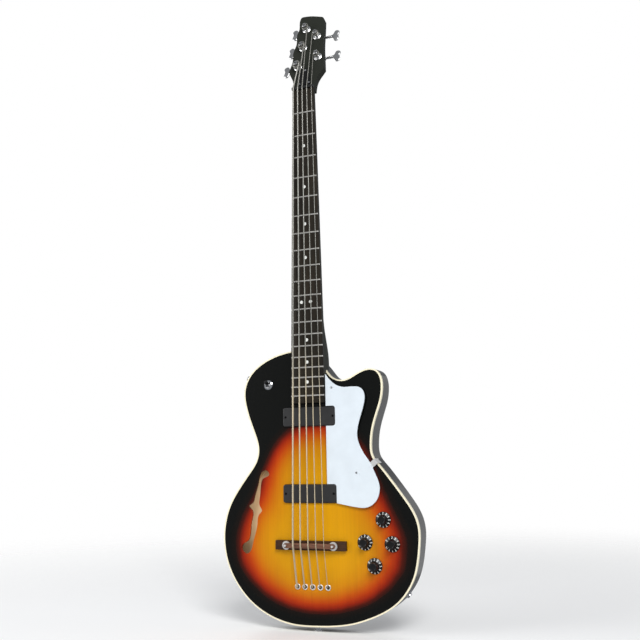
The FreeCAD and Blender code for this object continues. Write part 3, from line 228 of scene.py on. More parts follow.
def ramp(tree, stops, value, low, high):
    """A colour ramp over a value's range, from (value, colour) stops."""
    span = node(tree, "ShaderNodeMapRange")
    span.inputs["From Min"].default_value = low
    span.inputs["From Max"].default_value = high
    tree.links.new(value, span.inputs["Value"])
    made = node(tree, "ShaderNodeValToRGB")
    elements = made.color_ramp.elements
    while len(elements) > 1:
        elements.remove(elements[0])
    elements[0].position = (stops[0][0] - low) / (high - low)
    elements[0].color = (*stops[0][1], 1)
    for place, colour in stops[1:]:
        elements.new((place - low) / (high - low)).color = (*colour, 1)
    tree.links.new(span.outputs[0], made.inputs[0])
    return made.outputs["Color"]


def srgb(red, green, blue):
    """Screen values from 0 to 255 as the linear light that shaders use."""
    return tuple(((v / 255 + 0.055) / 1.055) ** 2.4 if v > 10 else v / 255 / 12.92
                 for v in (red, green, blue))


def stretched_noise(tree, place, stretch, detail=4, roughness=0.55, distortion=0.0):
    """Noise pulled long along the grain; stretch is in repeats per metre each way."""
    scaled = node(tree, "ShaderNodeVectorMath", operation="MULTIPLY")
    scaled.inputs[1].default_value = stretch
    made = node(tree, "ShaderNodeTexNoise", Scale=1.0, Detail=detail, Roughness=roughness,
                Distortion=distortion)
    tree.links.new(place, scaled.inputs[0])
    tree.links.new(scaled.outputs[0], made.inputs["Vector"])
    return made.outputs["Fac"]


def mix_colour(tree, kind, share, first, second):
    """Mixes two colours, each a socket or a plain colour; the share is a socket or a number."""
    made = tree.nodes.new("ShaderNodeMix")
    made.data_type = "RGBA"
    made.blend_type = kind
    for socket, value in ((made.inputs[0], share), (made.inputs[6], first), (made.inputs[7], second)):
        if isinstance(value, bpy.types.NodeSocket):
            tree.links.new(value, socket)
        else:
            socket.default_value = value if isinstance(value, float) else (*value, 1)
    return made.outputs[2]


def spread(tree, value, low, high, to_low, to_high):
    """Turns one range of values into another."""
    made = node(tree, "ShaderNodeMapRange")
    for name, number in (("From Min", low), ("From Max", high), ("To Min", to_low), ("To Max", to_high)):
        made.inputs[name].default_value = number
    tree.links.new(value, made.inputs["Value"])
    return made.outputs[0]


def bump(tree, shader, height, strength, distance):
    """Shades the surface as if the height had moved it, up to a distance in metres."""
    made = node(tree, "ShaderNodeBump", Strength=strength, Distance=distance)
    tree.links.new(height, made.inputs["Height"])
    tree.links.new(made.outputs[0], shader.inputs["Normal"])


polish_roughness = 0.14


def lacquer(shader, roughness=polish_roughness):
    """A clear polished coat over the colour."""
    shader.inputs["Roughness"].default_value = roughness
    shader.inputs["Specular IOR Level"].default_value = 0.2
    shader.inputs["Coat Weight"].default_value = 0.35
    shader.inputs["Coat IOR"].default_value = 1.4
    shader.inputs["Coat Roughness"].default_value = 0.06


print("helpers for shaders ready")

# %% The sunburst's colours and grain
sunburst, tree, shader = new_material("sunburst_lacquer")
place = wood_position(tree)
melt_reach = 0.09
cloud_reach = 0.010
lower = stretched_circle(tree, place, centre=(0.0100, 0.1383), reach=(0.1558, 0.1118))
upper = stretched_circle(tree, place, centre=(0.0136, 0.2308), reach=(0.1084, 0.1263))
melted = node(tree, "ShaderNodeMath", operation="SMOOTH_MIN")
melted.inputs[2].default_value = melt_reach
tree.links.new(lower, melted.inputs[0])
tree.links.new(upper, melted.inputs[1])
cloud = stretched_noise(tree, place, (14, 14, 14), detail=3)
uneven = node(tree, "ShaderNodeMath", operation="MULTIPLY_ADD")
uneven.inputs[1].default_value = cloud_reach
tree.links.new(cloud, uneven.inputs[0])
tree.links.new(melted.outputs[0], uneven.inputs[2])
stain_stops = (
    (-0.095, srgb(216, 154, 4)), (-0.060, srgb(206, 143, 4)), (-0.040, srgb(200, 128, 4)),
    (-0.028, srgb(194, 108, 4)), (-0.019, srgb(188, 82, 4)), (-0.010, srgb(174, 54, 4)),
    (-0.002, srgb(140, 31, 4)), (0.005, srgb(74, 17, 5)), (0.012, srgb(22, 12, 7)), (0.022, srgb(9, 10, 8)),
)
stain = ramp(tree, stain_stops, uneven.outputs[0], low=-0.10, high=0.03)
rings = stretched_noise(tree, place, (420, 30, 5), detail=5, distortion=0.4)
silk = stretched_noise(tree, place, (26, 10, 3), detail=3, distortion=1.2)
ring_shade = spread(tree, rings, 0.3, 0.7, 0.94, 1.03)
silk_shade = spread(tree, silk, 0.3, 0.7, 0.93, 1.05)
grain = node(tree, "ShaderNodeMath", operation="MULTIPLY")
tree.links.new(ring_shade, grain.inputs[0])
tree.links.new(silk_shade, grain.inputs[1])
grey = node(tree, "ShaderNodeCombineColor")
for socket in grey.inputs[:3]:
    tree.links.new(grain.outputs[0], socket)
tree.links.new(mix_colour(tree, "MULTIPLY", 1.0, stain, grey.outputs[0]), shader.inputs["Base Color"])
lacquer(shader, 0.16)
ripple = stretched_noise(tree, place, (90, 90, 90), detail=2)
bump(tree, shader, ripple, 0.04, 0.0006)
print("stain stops:", len(stain_stops))

# %% [markdown]
# ## The other finishes
#
# The rest of a bass is made of a few finishes, each of which shows something of its own
# up close: black lacquer has a faint orange-peel ripple, rosewood has open pores along
# its grain, cast chrome is smooth but a little smeared by fingers, and moulded plastic
# has a fine grain. Each material below carries that one detail in its roughness or bump.
# The neck's black is satin, duller than the body's. The strings are bright over the body
# and dull over the fingerboard, so their metal changes with its height on the bass. Two
# materials would need a seam across each string, so one material fades between the two.

# %% Lacquer, wood and plastic
def wear(tree, shader, place, repeats, low, high):
    """Roughness that wanders between two values, as on a handled surface."""
    smear = stretched_noise(tree, place, (repeats,) * 3, detail=3)
    tree.links.new(spread(tree, smear, 0.3, 0.7, low, high), shader.inputs["Roughness"])


black_lacquer, tree, shader = new_material("black_lacquer")
place = wood_position(tree)
depth = stretched_noise(tree, place, (60, 60, 8), detail=4)
tree.links.new(ramp(tree, ((0.3, (0.004, 0.004, 0.004)), (0.7, (0.009, 0.009, 0.008))), depth, 0.3, 0.7),
               shader.inputs["Base Color"])
lacquer(shader)
bump(tree, shader, stretched_noise(tree, place, (110, 110, 110), detail=2), 0.05, 0.0006)


def open_grain(name, dark, light, along, roughness=0.42, pores=0.5):
    """Rosewood or bare tonewood, with streaks and pores along one axis."""
    material, tree, shader = new_material(name)
    place = wood_position(tree)
    wide = [18, 18, 18]
    fine = [900, 900, 900]
    wide[along] = 3
    fine[along] = 40
    streak = stretched_noise(tree, place, wide, detail=6, roughness=0.62, distortion=1.5)
    pore = stretched_noise(tree, place, fine, detail=2, roughness=0.5)
    between = [(a + b) / 2 for a, b in zip(dark, light)]
    colour = ramp(tree, ((0.30, dark), (0.52, between), (0.74, light)), streak, 0.2, 0.8)
    dots = ramp(tree, ((0.35, (1 - pores,) * 3), (0.48, (1, 1, 1))), pore, 0.2, 0.8)
    tree.links.new(mix_colour(tree, "MULTIPLY", 1.0, colour, dots), shader.inputs["Base Color"])
    tree.links.new(spread(tree, pore, 0.3, 0.6, roughness + 0.15, roughness), shader.inputs["Roughness"])
    shader.inputs["Specular IOR Level"].default_value = 0.25
    bump(tree, shader, pore, 0.25, 0.0002)
    return material


board_rosewood = open_grain("board_rosewood", (0.006, 0.005, 0.003), (0.028, 0.020, 0.011), 2)
foot_rosewood = open_grain("foot_rosewood", (0.034, 0.014, 0.007), (0.100, 0.045, 0.020), 0, 0.36)
saddle_rosewood = open_grain("saddle_rosewood", (0.110, 0.048, 0.028), (0.270, 0.125, 0.075), 0, 0.34)
bare_wood = open_grain("bare_wood", (0.46, 0.29, 0.13), (0.66, 0.46, 0.25), 2, 0.6, 0.25)


# The back's inner face lies at Y = 18 mm. All that lies behind 18.01 mm is painted.
back_paint_starts = 0.01801
bare_roughness = 0.6


def painted_outside(name, paint, wood, paint_starts):
    """The back plate's two finishes: bare wood inside the body, and paint behind it."""
    material, tree, shader = new_material(name)
    place = wood_position(tree)
    painted = node(tree, "ShaderNodeMath", operation="GREATER_THAN")
    painted.inputs[1].default_value = paint_starts
    tree.links.new(one_axis(tree, place, "Y"), painted.inputs[0])
    streak = stretched_noise(tree, place, (60, 60, 6), detail=5, distortion=0.8)
    boards = ramp(tree, ((0.3, wood[0]), (0.7, wood[1])), streak, 0.3, 0.7)
    tree.links.new(mix_colour(tree, "MIX", painted.outputs[0], boards, paint), shader.inputs["Base Color"])
    tree.links.new(spread(tree, painted.outputs[0], 0, 1, bare_roughness, polish_roughness),
                   shader.inputs["Roughness"])
    shader.inputs["Specular IOR Level"].default_value = 0.3
    shader.inputs["Coat Weight"].default_value = 0.35
    shader.inputs["Coat Roughness"].default_value = 0.06
    bump(tree, shader, stretched_noise(tree, place, (110, 110, 110), detail=2), 0.05, 0.0006)
    return material


back_lacquer = painted_outside("back_lacquer", (0.006, 0.006, 0.006),
                               ((0.50, 0.33, 0.17), (0.66, 0.47, 0.27)), back_paint_starts)


def moulded(name, colour, roughness, grain_size=1500, grain_strength=0.08, coat=0.0):
    """Moulded plastic or satin paint, with a fine grain."""
    material, tree, shader = new_material(name)
    place = wood_position(tree)
    tone = stretched_noise(tree, place, (35, 35, 35), detail=3)
    low = [v * 0.93 for v in colour]
    tree.links.new(ramp(tree, ((0.3, low), (0.7, colour)), tone, 0.3, 0.7), shader.inputs["Base Color"])
    wear(tree, shader, place, 60, roughness * 0.85, roughness * 1.2)
    shader.inputs["Coat Weight"].default_value = coat
    shader.inputs["Coat Roughness"].default_value = 0.08
    bump(tree, shader, stretched_noise(tree, place, (grain_size,) * 3, detail=2), grain_strength, 0.0001)
    return material


cream_plastic = moulded("cream_binding", srgb(252, 243, 212), 0.22, coat=0.5)
guard_plastic = moulded("guard_plastic", srgb(222, 231, 238), 0.16, grain_strength=0.02, coat=0.5)
pickup_plastic = moulded("pickup_plastic", srgb(40, 40, 41), 0.42, grain_strength=0.2)
knob_plastic = moulded("knob_plastic", srgb(12, 12, 13), 0.34, grain_strength=0.03)
tick_paint = moulded("tick_paint", srgb(236, 236, 230), 0.45)
nut_plastic = moulded("nut_plastic", srgb(22, 22, 22), 0.30, coat=0.2)
satin_black = moulded("satin_black", srgb(40, 42, 37), 0.48, grain_strength=0.05)
satin_black.node_tree.nodes["Principled BSDF"].inputs["Specular IOR Level"].default_value = 0.12

pearl, tree, shader = new_material("pearl")
place = wood_position(tree)
sheen = stretched_noise(tree, place, (260, 260, 260), detail=4, distortion=2.0)
pearl_stops = ((0.3, srgb(206, 212, 214)), (0.5, srgb(238, 238, 232)), (0.7, srgb(226, 232, 226)))
tree.links.new(ramp(tree, pearl_stops, sheen, 0.3, 0.7), shader.inputs["Base Color"])
shader.inputs["Roughness"].default_value = 0.16
print("plastics and woods made")


# %% Metal
def metal(name, colour, low, high, repeats=70, scratch=0.05, stretch=(900, 900, 900)):
    """Polished or drawn metal whose shine wanders a little."""
    material, tree, shader = new_material(name)
    place = wood_position(tree)
    shader.inputs["Metallic"].default_value = 1.0
    tone = stretched_noise(tree, place, (repeats,) * 3, detail=2)
    dim = [v * 0.94 for v in colour]
    tree.links.new(ramp(tree, ((0.3, dim), (0.7, colour)), tone, 0.3, 0.7), shader.inputs["Base Color"])
    wear(tree, shader, place, repeats, low, high)
    bump(tree, shader, stretched_noise(tree, place, stretch, detail=2), scratch, 0.00008)
    return material


chrome = metal("chrome", (0.80, 0.81, 0.83), 0.05, 0.12)
fret_metal = metal("fret_metal", (0.72, 0.70, 0.66), 0.16, 0.26, stretch=(60, 1500, 1500))
plain_steel = metal("plain_steel", (0.55, 0.55, 0.56), 0.28, 0.42)
tuner_nickel = metal("tuner_nickel", (0.70, 0.70, 0.70), 0.20, 0.34)
brushed_steel = metal("brushed_steel", (0.90, 0.89, 0.87), 0.28, 0.38, stretch=(1500, 1500, 60))
brass = metal("brass", (0.72, 0.50, 0.20), 0.22, 0.36)
winding = metal("string_winding", (0.74, 0.63, 0.44), 0.34, 0.44, scratch=0.35, stretch=(200, 200, 2600))
for pale_metal in (winding, fret_metal, brushed_steel):
    pale_metal.node_tree.nodes["Principled BSDF"].inputs["Metallic"].default_value = 0.6


def tarnish(material, low, high, dull):
    """Dulls a metal between two heights, and keeps it dull above them."""
    tree = material.node_tree
    shader = tree.nodes["Principled BSDF"]
    bright = shader.inputs["Base Color"].links[0].from_socket
    share = spread(tree, one_axis(tree, wood_position(tree), "Z"), low, high, 0.0, 1.0)
    tree.links.new(mix_colour(tree, "MIX", share, bright, dull), shader.inputs["Base Color"])


tarnish(winding, low=0.38, high=0.50, dull=(0.27, 0.265, 0.24))

# The pickups' middles above the tail, and how far from them their screws can be, in millimetres
bridge_pickup_height = 229.0
neck_pickup_height = 365.6
screw_reach = 19.0


def screw_finish():
    """Chrome screws, but blackened ones in the two pickups, told apart by how high they stand."""
    material, tree, shader = new_material("screw_finish")
    place = wood_position(tree)
    shader.inputs["Metallic"].default_value = 1.0
    height_on_bass = one_axis(tree, place, "Z")
    bands = []
    for pickup_height in (bridge_pickup_height, neck_pickup_height):
        band = node(tree, "ShaderNodeMath", operation="COMPARE")
        band.inputs[1].default_value = pickup_height * MM
        band.inputs[2].default_value = screw_reach * MM
        tree.links.new(height_on_bass, band.inputs[0])
        bands.append(band)
    either = node(tree, "ShaderNodeMath", operation="MAXIMUM")
    for number, band in enumerate(bands):
        tree.links.new(band.outputs[0], either.inputs[number])
    tree.links.new(mix_colour(tree, "MIX", either.outputs[0], (0.66, 0.67, 0.68), (0.020, 0.020, 0.021)),
                   shader.inputs["Base Color"])
    wear(tree, shader, place, 300, 0.22, 0.42)
    return material


screw_metal = screw_finish()
print("metals made")

# %% [markdown]
# ## Finishes for the solids that stay
#
# Most CAD solids have the right shape already: the arched top, the bent rims, the neck,
# the tuner plates. Each of these only needs its finish.
# Handing the finishes out from one table keeps the list of pieces in one place, and a
# piece that was forgotten is easy to see, because the loop names it.

# %% Hand out the finishes
finish_of = {
    "body_top": sunburst, "body_back": back_lacquer, "rim_bass": black_lacquer,
    "rim_treble": black_lacquer, "neck": satin_black, "top_binding": cream_plastic,
    "top_linings": bare_wood, "back_linings": bare_wood, "center_block": bare_wood,
    "strap_block": bare_wood, "fretboard": board_rosewood, "frets": fret_metal,
    "position_dots": pearl, "nut": nut_plastic, "truss_rod": plain_steel,
    "truss_rod_cover": knob_plastic, "small_screws": screw_metal, "tuner_plates": tuner_nickel,
    "tuner_bushings": tuner_nickel, "strings": winding,
    "bridge_foot": foot_rosewood, "bridge_saddle": saddle_rosewood, "bridge_studs": brushed_steel,
    "thumbwheel_bass": brushed_steel, "thumbwheel_treble": brushed_steel, "top_ferrules": chrome,
    "back_ferrules": chrome, "neck_pickup": pickup_plastic, "bridge_pickup": pickup_plastic,
    "pickguard": guard_plastic, "pickguard_spacer": knob_plastic, "pickguard_bracket": brushed_steel,
    "potentiometers": plain_steel, "panel_nuts": chrome, "toggle_switch": plain_steel,
    "toggle_nut": chrome, "toggle_lever": chrome, "toggle_tip": knob_plastic, "output_jack": chrome,
    "strap_buttons": chrome, "strap_screws": chrome,
}
for name in nodes:
    if name.startswith("tuner_gear"):
        finish_of[name] = brass
    elif name.startswith("tuner_"):
        finish_of.setdefault(name, tuner_nickel)
    elif name.endswith("_knob"):
        finish_of[name] = knob_plastic


def coat(thing, material):
    """Every face of a piece takes one finish."""
    thing.data.materials.clear()
    thing.data.materials.append(material)


for name, thing in nodes.items():
    coat(thing, finish_of[name])
print("finished CAD nodes:", len(nodes))

# %% [markdown]
# ## Turned pieces: one helper for the ferrules, the knobs and the stems of the keys
#
# All of these are round about one axis, as if they came off a lathe. Their edges are never
# sharp, because a sharp chrome edge would flake and cut. The Screw modifier can turn a
# profile too, but here each profile is also softened at its corners, and its radius may
# ripple with the angle for knurls and flutes, so a short function is simpler.

# %% Turn a softened profile
def soften(points, radius, steps=3):
    """The same profile with each inner corner eased into a short curve."""
    points = [Vector(p) for p in points]
    out = [points[0]]
    for before, corner, after in zip(points, points[1:], points[2:]):
        back = before - corner
        ahead = after - corner
        reach = min(radius, back.length * 0.45, ahead.length * 0.45)
        start = corner + back.normalized() * reach
        end = corner + ahead.normalized() * reach
        for step in range(steps + 1):
            share = step / steps
            out.append(start * (1 - share) ** 2 + corner * (2 * share * (1 - share)) + end * share ** 2)
    return out + [points[-1]]


def mesh_piece(name, corners, faces, material, body, place=None, angle=32):
    """A smooth-shaded piece from its corners and faces, riding on a body."""
    mesh = bpy.data.meshes.new(name)
    mesh.from_pydata([(place or Matrix.Identity(4)) @ Vector(c) for c in corners], [], faces)
    mesh.validate()
    piece = bpy.data.objects.new(name, mesh)
    bpy.context.scene.collection.objects.link(piece)
    piece.data.materials.append(material)
    mesh.shade_smooth()
    mesh.set_sharp_from_angle(angle=math.radians(angle))
    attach(piece, body)
    return piece


def turned_faces(count, rings):
    """Side faces between rings of corners, plus a fan at each end that lies on the axis."""
    faces = []
    starts = []
    number = 0
    for on_axis in rings:
        starts.append(number)
        number += 1 if on_axis else count
    for (low, low_point), (high, high_point) in zip(zip(starts, rings), zip(starts[1:], rings[1:])):
        for step in range(count):
            after = (step + 1) % count
            if low_point:
                faces.append((low, high + after, high + step))
            elif high_point:
                faces.append((low + step, low + after, high))
            else:
                faces.append((low + step, low + after, high + after, high + step))
    return faces


def turned_shape(profile, ease=0.3, count=72, ripple=None, steps=3):
    """Corners and faces of a profile of (radius, height) in millimetres, turned about Z."""
    corners = []
    rings = []
    for radius, height in soften(profile, ease, steps):
        rings.append(radius < 1e-6)
        if rings[-1]:
            corners.append((0, 0, height * MM))
            continue
        for step in range(count):
            angle = 2 * math.pi * step / count
            size = radius + (ripple(angle, radius, height) if ripple else 0)
            corners.append((size * math.cos(angle) * MM, size * math.sin(angle) * MM, height * MM))
    return corners, turned_faces(count, rings)


# The same sizes as the CAD, in millimetres
dome_radius = 3200.0
dome_front = -28.0
dome_crown = 241.0


def dome_y(x, z):
    return dome_front + dome_radius - math.sqrt(dome_radius ** 2 - x * x - (z - dome_crown) ** 2)


def on_top(x, z):
    """Placement on the arched top: its own Z stands straight out, its own Y points up the body."""
    point = Vector((x, dome_y(x, z), z))
    out = (point - Vector((0, dome_front + dome_radius, dome_crown))).normalized()
    across = Vector((0, 0, 1)).cross(out).normalized() * -1
    along = out.cross(across)
    turn = Matrix((across, along, out)).transposed().to_4x4()
    return Matrix.Translation(point * MM) @ turn


print("dome at the knobs:", round(dome_y(120, 150), 2))

# %% [markdown]
# ## Control knobs
#
# The four knobs are black, with a fluted cap to grip and a sloping skirt that carries
# white numbers. In the photograph the numbers read as a ring of white ticks with a gap on
# the bass side. A texture could print them, but small raised figures stay sharp at any
# distance, and they turn with their knob when the pot is turned.

# %% Knobs with fluted caps and numbered skirts
knob_places = {"neck_volume": (133.7, 185.0), "neck_tone": (148.1, 144.4),
               "bridge_volume": (99.9, 146.5), "bridge_tone": (115.6, 107.4)}
skirt_foot = (13.5, 2.1)
skirt_top = (8.6, 4.9)
knob_profile = ((9.0, 3.4), (9.0, 0.8), (13.5, 0.8), skirt_foot, skirt_top, (7.9, 5.6), (7.3, 14.9),
                (6.6, 15.5), (5.3, 15.45), (4.9, 15.2), (0, 15.2))
flute_count = 18
flute_depth = 0.62
flute_sharpness = 1.5
flute_foot = 5.6
flute_top = 15.6
foot_fade = 0.8
top_fade = 0.9
side_wall_radius = 6.4
figure_gap = 32
figure_height = 5.8
figure_width_share = 0.74
figure_thickness = 0.03
figure_swell = 0.14
figure_radius = 11.0
figure_rise = 3.57


def flutes(angle, radius, height):
    """Shallow grooves, only on the side wall of the cap, that fade out at both of its ends."""
    if radius < side_wall_radius:
        return 0
    share = min(1, max(0, (height - flute_foot) / foot_fade)) * min(1, max(0, (flute_top - height) / top_fade))
    wave = max(0, math.cos(flute_count * angle)) ** flute_sharpness
    return -flute_depth * share * wave


def printed_figures(name, texts, place, material, body):
    """Numbers set round the skirt, a hair proud of it, facing outward."""
    corners = []
    faces = []
    for number, text in enumerate(texts):
        data = bpy.data.curves.new(name, "FONT")
        data.body = text
        data.size = figure_height * MM
        data.align_x = "CENTER"
        data.align_y = "CENTER"
        data.extrude = figure_thickness * MM
        data.offset = figure_swell * MM
        writing = bpy.data.objects.new(name, data)
        bpy.context.scene.collection.objects.link(writing)
        depsgraph = bpy.context.evaluated_depsgraph_get()
        mesh = bpy.data.meshes.new_from_object(writing.evaluated_get(depsgraph))
        heading = math.radians(-figure_gap - (360 - 2 * figure_gap) * number / (len(texts) - 1))
        slope = math.atan2(skirt_top[1] - skirt_foot[1], skirt_foot[0] - skirt_top[0])
        turn = Matrix.Rotation(heading - math.pi / 2, 4, "Z")
        lay = Matrix.Translation((0, figure_radius * MM, figure_rise * MM)) @ Matrix.Rotation(-slope, 4, "X")
        start = len(corners)
        narrow = Matrix.Diagonal((figure_width_share, 1, 1, 1))
        corners += [turn @ lay @ narrow @ v.co for v in mesh.vertices]
        faces += [[start + i for i in face.vertices] for face in mesh.polygons]
        bpy.data.objects.remove(writing)
        bpy.data.meshes.remove(mesh)
    return mesh_piece(name, corners, faces, material, body, place, 20)


for name, (x, z) in knob_places.items():
    corners, faces = turned_shape(knob_profile, 0.35, 144, flutes)
    knob = mesh_piece(name + "_knob_shell", corners, faces, knob_plastic, name,
                      on_top(x, z))
    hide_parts(name + "_knob")
    printed_figures(name + "_figures", [str(n) for n in range(11)], on_top(x, z), tick_paint, name)
print("knobs:", len(knob_places))

# %% [markdown]
# ## String ferrules
#
# A ferrule is a turned chrome cup: a domed lip on the top, and a bore that swallows the
# string. Seen from the front it is a bright ring round a dark hole, dark because the deep
# bore lies in shade. One material on the CAD ring would make the bore bright as well, so
# each ferrule here is two turned pieces, a chrome lip and a black cup that paints the
# shade in the bore, which meet inside the lip.

# %% Ferrule lips, and black cups of painted shade in their bores
ferrule_height = 68.0
ferrule_gap = 14.4
ferrule_places = [ferrule_gap * step for step in range(-2, 3)]
lip_profile = ((3.2, -0.9), (3.25, 0.7), (3.6, 1.1), (4.3, 1.2), (5.0, 0.85), (5.3, 0.2), (5.3, -0.9))
# A black cup inside each bore paints the shade down the hole: painted shade, not a lining
bore_shade_profile = ((3.3, 0.6), (3.2, -0.6), (2.25, -0.9), (2.2, -3.0))


def facing_front(x, y, z):
    """Placement with its own Z toward the front of the bass."""
    return Matrix.Translation(Vector((x, y, z)) * MM) @ Matrix.Rotation(math.pi / 2, 4, "X")


lip_corners = []
lip_faces = []
bore_shade_corners = []
bore_shade_faces = []
for x in ferrule_places:
    place = facing_front(x, dome_y(x, ferrule_height), ferrule_height)
    for profile, all_corners, all_faces in ((lip_profile, lip_corners, lip_faces),
                                            (bore_shade_profile, bore_shade_corners, bore_shade_faces)):
        corners, faces = turned_shape(profile, 0.25, 48)
        start = len(all_corners)
        all_corners += [place @ Vector(c) for c in corners]
        all_faces += [[start + i for i in face] for face in faces]
lips = mesh_piece("ferrule_lips", lip_corners, lip_faces, brushed_steel, "bass", angle=50)
# The black cups are painted shade that fills each bore
bore_shades = mesh_piece("ferrule_bore_shade", bore_shade_corners, bore_shade_faces, knob_plastic, "bass", angle=50)
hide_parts("top_ferrules")
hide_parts("top_ferrules")
print("ferrules:", len(ferrule_places))

# %% [markdown]
# ## Tuner keys
#
# The keys are cast, so they have no flat face and no sharp edge: each is a tulip of two
# soft lobes on a turned stem, with a worm at its other end that drives the gear. A
# subdivided box could be pulled into this shape by hand. Here one outline is drawn, and
# rings of it shrink toward the middle while they swell outward, like a pillow, which
# needs only a few numbers and gives all five keys the same casting.

# %% Cast keys on their stems
tuner_places = ((-16.6, 52.4, -1), (-9.5, 98.4, -1), (-6.0, 144.4, -1), (18.1, 121.9, 1), (24.0, 69.2, 1))
head_y = -28.5
head_foot = 1000
head_tilt = 14
head_place = Matrix.Translation((0, head_y * MM, head_foot * MM)) @ Matrix.Rotation(
    math.radians(90 - head_tilt), 4, "X")
key_start = 22.5
key_outline = ((0.0, -1.5), (2.4, -1.2), (3.1, 1.6), (5.2, 4.2), (9.2, 5.8), (12.6, 8.0), (13.3, 11.4),
               (11.6, 15.2), (8.4, 16.9), (4.8, 16.3), (2.2, 15.3), (0.0, 15.1))
key_middle = 9.4
key_half_thickness = 1.9
pillow_rings = (1.0, 0.985, 0.955, 0.91, 0.84, 0.74, 0.6, 0.4, 0.18)
pillow_power = 6


def smooth_line(points, steps=6):
    """A smooth line through the points, as a Catmull-Rom curve."""
    out = []
    padded = [points[0], *points, points[-1]]
    for a, b, c, d in zip(padded, padded[1:], padded[2:], padded[3:]):
        for step in range(steps):
            t = step / steps
            out.append(tuple(0.5 * (2 * q + (r - p) * t + (2 * p - 5 * q + 4 * r - s) * t * t
                                    + (3 * q - p - 3 * r + s) * t ** 3) for p, q, r, s in zip(a, b, c, d)))
    return out + [points[-1]]


def cast_key():
    """Corners and faces of one key: its own Z runs out along the stem, its own Y along the neck."""
    side = smooth_line(key_outline, 4)
    line = side + [(-y, z) for y, z in reversed(side[1:-1])]
    count = len(line)
    corners = []
    faces = []
    for front in (1, -1):
        start = len(corners)
        for share in pillow_rings:
            swell = front * key_half_thickness * math.sqrt(1 - share ** pillow_power)
            for y, z in line:
                along = key_start + key_middle + (z - key_middle) * share
                corners.append((swell * MM, y * share * MM, along * MM))
        corners.append((front * key_half_thickness * MM, 0, (key_start + key_middle) * MM))
        top = len(corners) - 1
        for ring in range(len(pillow_rings) - 1):
            for step in range(count):
                after = (step + 1) % count
                a = start + ring * count
                face = (a + step, a + after, a + count + after, a + count + step)
                faces.append(face if front > 0 else face[::-1])
        inner = start + (len(pillow_rings) - 1) * count
        for step in range(count):
            face = (inner + step, inner + (step + 1) % count, top)
            faces.append(face if front > 0 else face[::-1])
    return corners, faces


# The worm's ridges stand on the stem's inner end
ridge_count = 5
worm_end = 5.3
root_radius = 2.4
crest_radius = 3.15
root_reach = 0.85
crest_reach = 0.35
stem_profile = [(0, -8.0), (2.0, -8.0), (2.0, -worm_end)]
for ridge in range(ridge_count):
    middle = -worm_end + 2 * worm_end * (ridge + 0.5) / ridge_count
    stem_profile += [(root_radius, middle - root_reach), (crest_radius, middle - crest_reach),
                     (crest_radius, middle + crest_reach), (root_radius, middle + root_reach)]
stem_profile += [(2.0, worm_end), (2.0, 8.0), (2.7, 8.0), (2.7, 9.4), (2.3, 9.9), (2.3, 16.5), (2.9, 17.2),
                 (2.9, 18.4), (2.4, 19.0), (2.5, 21.2), (1.9, 24.0), (0, 25.0)]
worm_above_post = 10.0
worm_depth = 19.2
for number, (x, y, side) in enumerate(tuner_places, 1):
    worm = Matrix.Translation(Vector((x, y + worm_above_post, -worm_depth)) * MM) @ Matrix.Rotation(
        side * math.pi / 2, 4, "Y")
    corners, faces = cast_key()
    key = mesh_piece("key_casting_%d" % number, corners, faces, tuner_nickel, "key_%d" % number,
                     head_place @ worm, 60)
    corners, faces = turned_shape(stem_profile, 0.3, 40)
    stem = mesh_piece("key_stem_%d" % number, corners, faces, tuner_nickel, "key_%d" % number,
                      head_place @ worm, 40)
    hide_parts("tuner_key_%d" % number)
    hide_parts("tuner_key_%d" % number)
print("tuner keys:", len(tuner_places))

# %% [markdown]
# ## Frets
#
# Fret wire has a rounded crown, and its ends are filed at a slant so that they don't catch
# the hand. The CAD frets are square bars with the right height and width. Sweeping a half
# round section along the board's arch gives each one the bright thin line that a real
# crown shows, which a bevel on the square bar would only come near to.

# %% Rounded frets
scale_length = 864.0
nut_height = 995.0
board_face = -34.8
board_radius = 400.0
nut_half_width = 21.9
board_end = 390.0
board_end_half_width = 33.0
fret_count = 20
fret_rise = 1.2
fret_half_width = 1.3
fret_roundness = 0.8
fret_inset = 0.25
end_slant = 0.55


def fret_line(number):
    """Height on the bass of a fret, by the twelfth root of two."""
    return nut_height - scale_length * (1 - 2 ** (-number / 12))


def board_half_width(height):
    """Half the board's width, which grows evenly from the nut to its end over the body."""
    share = (nut_height - height) / (nut_height - board_end)
    return nut_half_width + (board_end_half_width - nut_half_width) * share


def board_y(x):
    """The board's arched face."""
    return board_face + board_radius - math.sqrt(board_radius ** 2 - x * x)


fret_corners = []
fret_faces = []
across_steps = 16
round_steps = 10
for number in range(1, fret_count + 1):
    height = fret_line(number)
    half = board_half_width(height) - fret_inset
    start = len(fret_corners)
    for step in range(across_steps + 1):
        x = -half + 2 * half * step / across_steps
        for turn in range(round_steps + 1):
            angle = math.pi * turn / round_steps
            lift = fret_rise * math.sin(angle) ** fret_roundness
            pull = end_slant * lift if step == 0 else -end_slant * lift if step == across_steps else 0
            along = height - fret_half_width * math.cos(angle)
            fret_corners.append(((x + pull) * MM, (board_y(x) - lift) * MM, along * MM))
    ring = round_steps + 1
    for step in range(across_steps):
        for turn in range(round_steps):
            a = start + step * ring + turn
            fret_faces.append((a, a + ring, a + ring + 1, a + 1))
    fret_faces.append([start + t for t in range(ring)])
    fret_faces.append([start + across_steps * ring + t for t in reversed(range(ring))])
fret_piece = mesh_piece("fret_crowns", fret_corners, fret_faces, fret_metal, "bass", angle=50)
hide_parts("frets")
print("frets:", fret_count, "faces:", len(fret_faces))

# %% [markdown]
# ## Pickups and pickguard
#
# The soapbar covers are moulded, so every edge is rounded, and the guard is cut from
# sheet with a thin bevel scraped round its edge, which catches the light as a fine line.
# A Bevel modifier would do this on clean meshes, but the CAD solids are full of narrow
# triangles that it would tear. A filled 2D curve with a bevel gives a clean rounded edge
# from an outline alone, so both pieces are drawn that way.

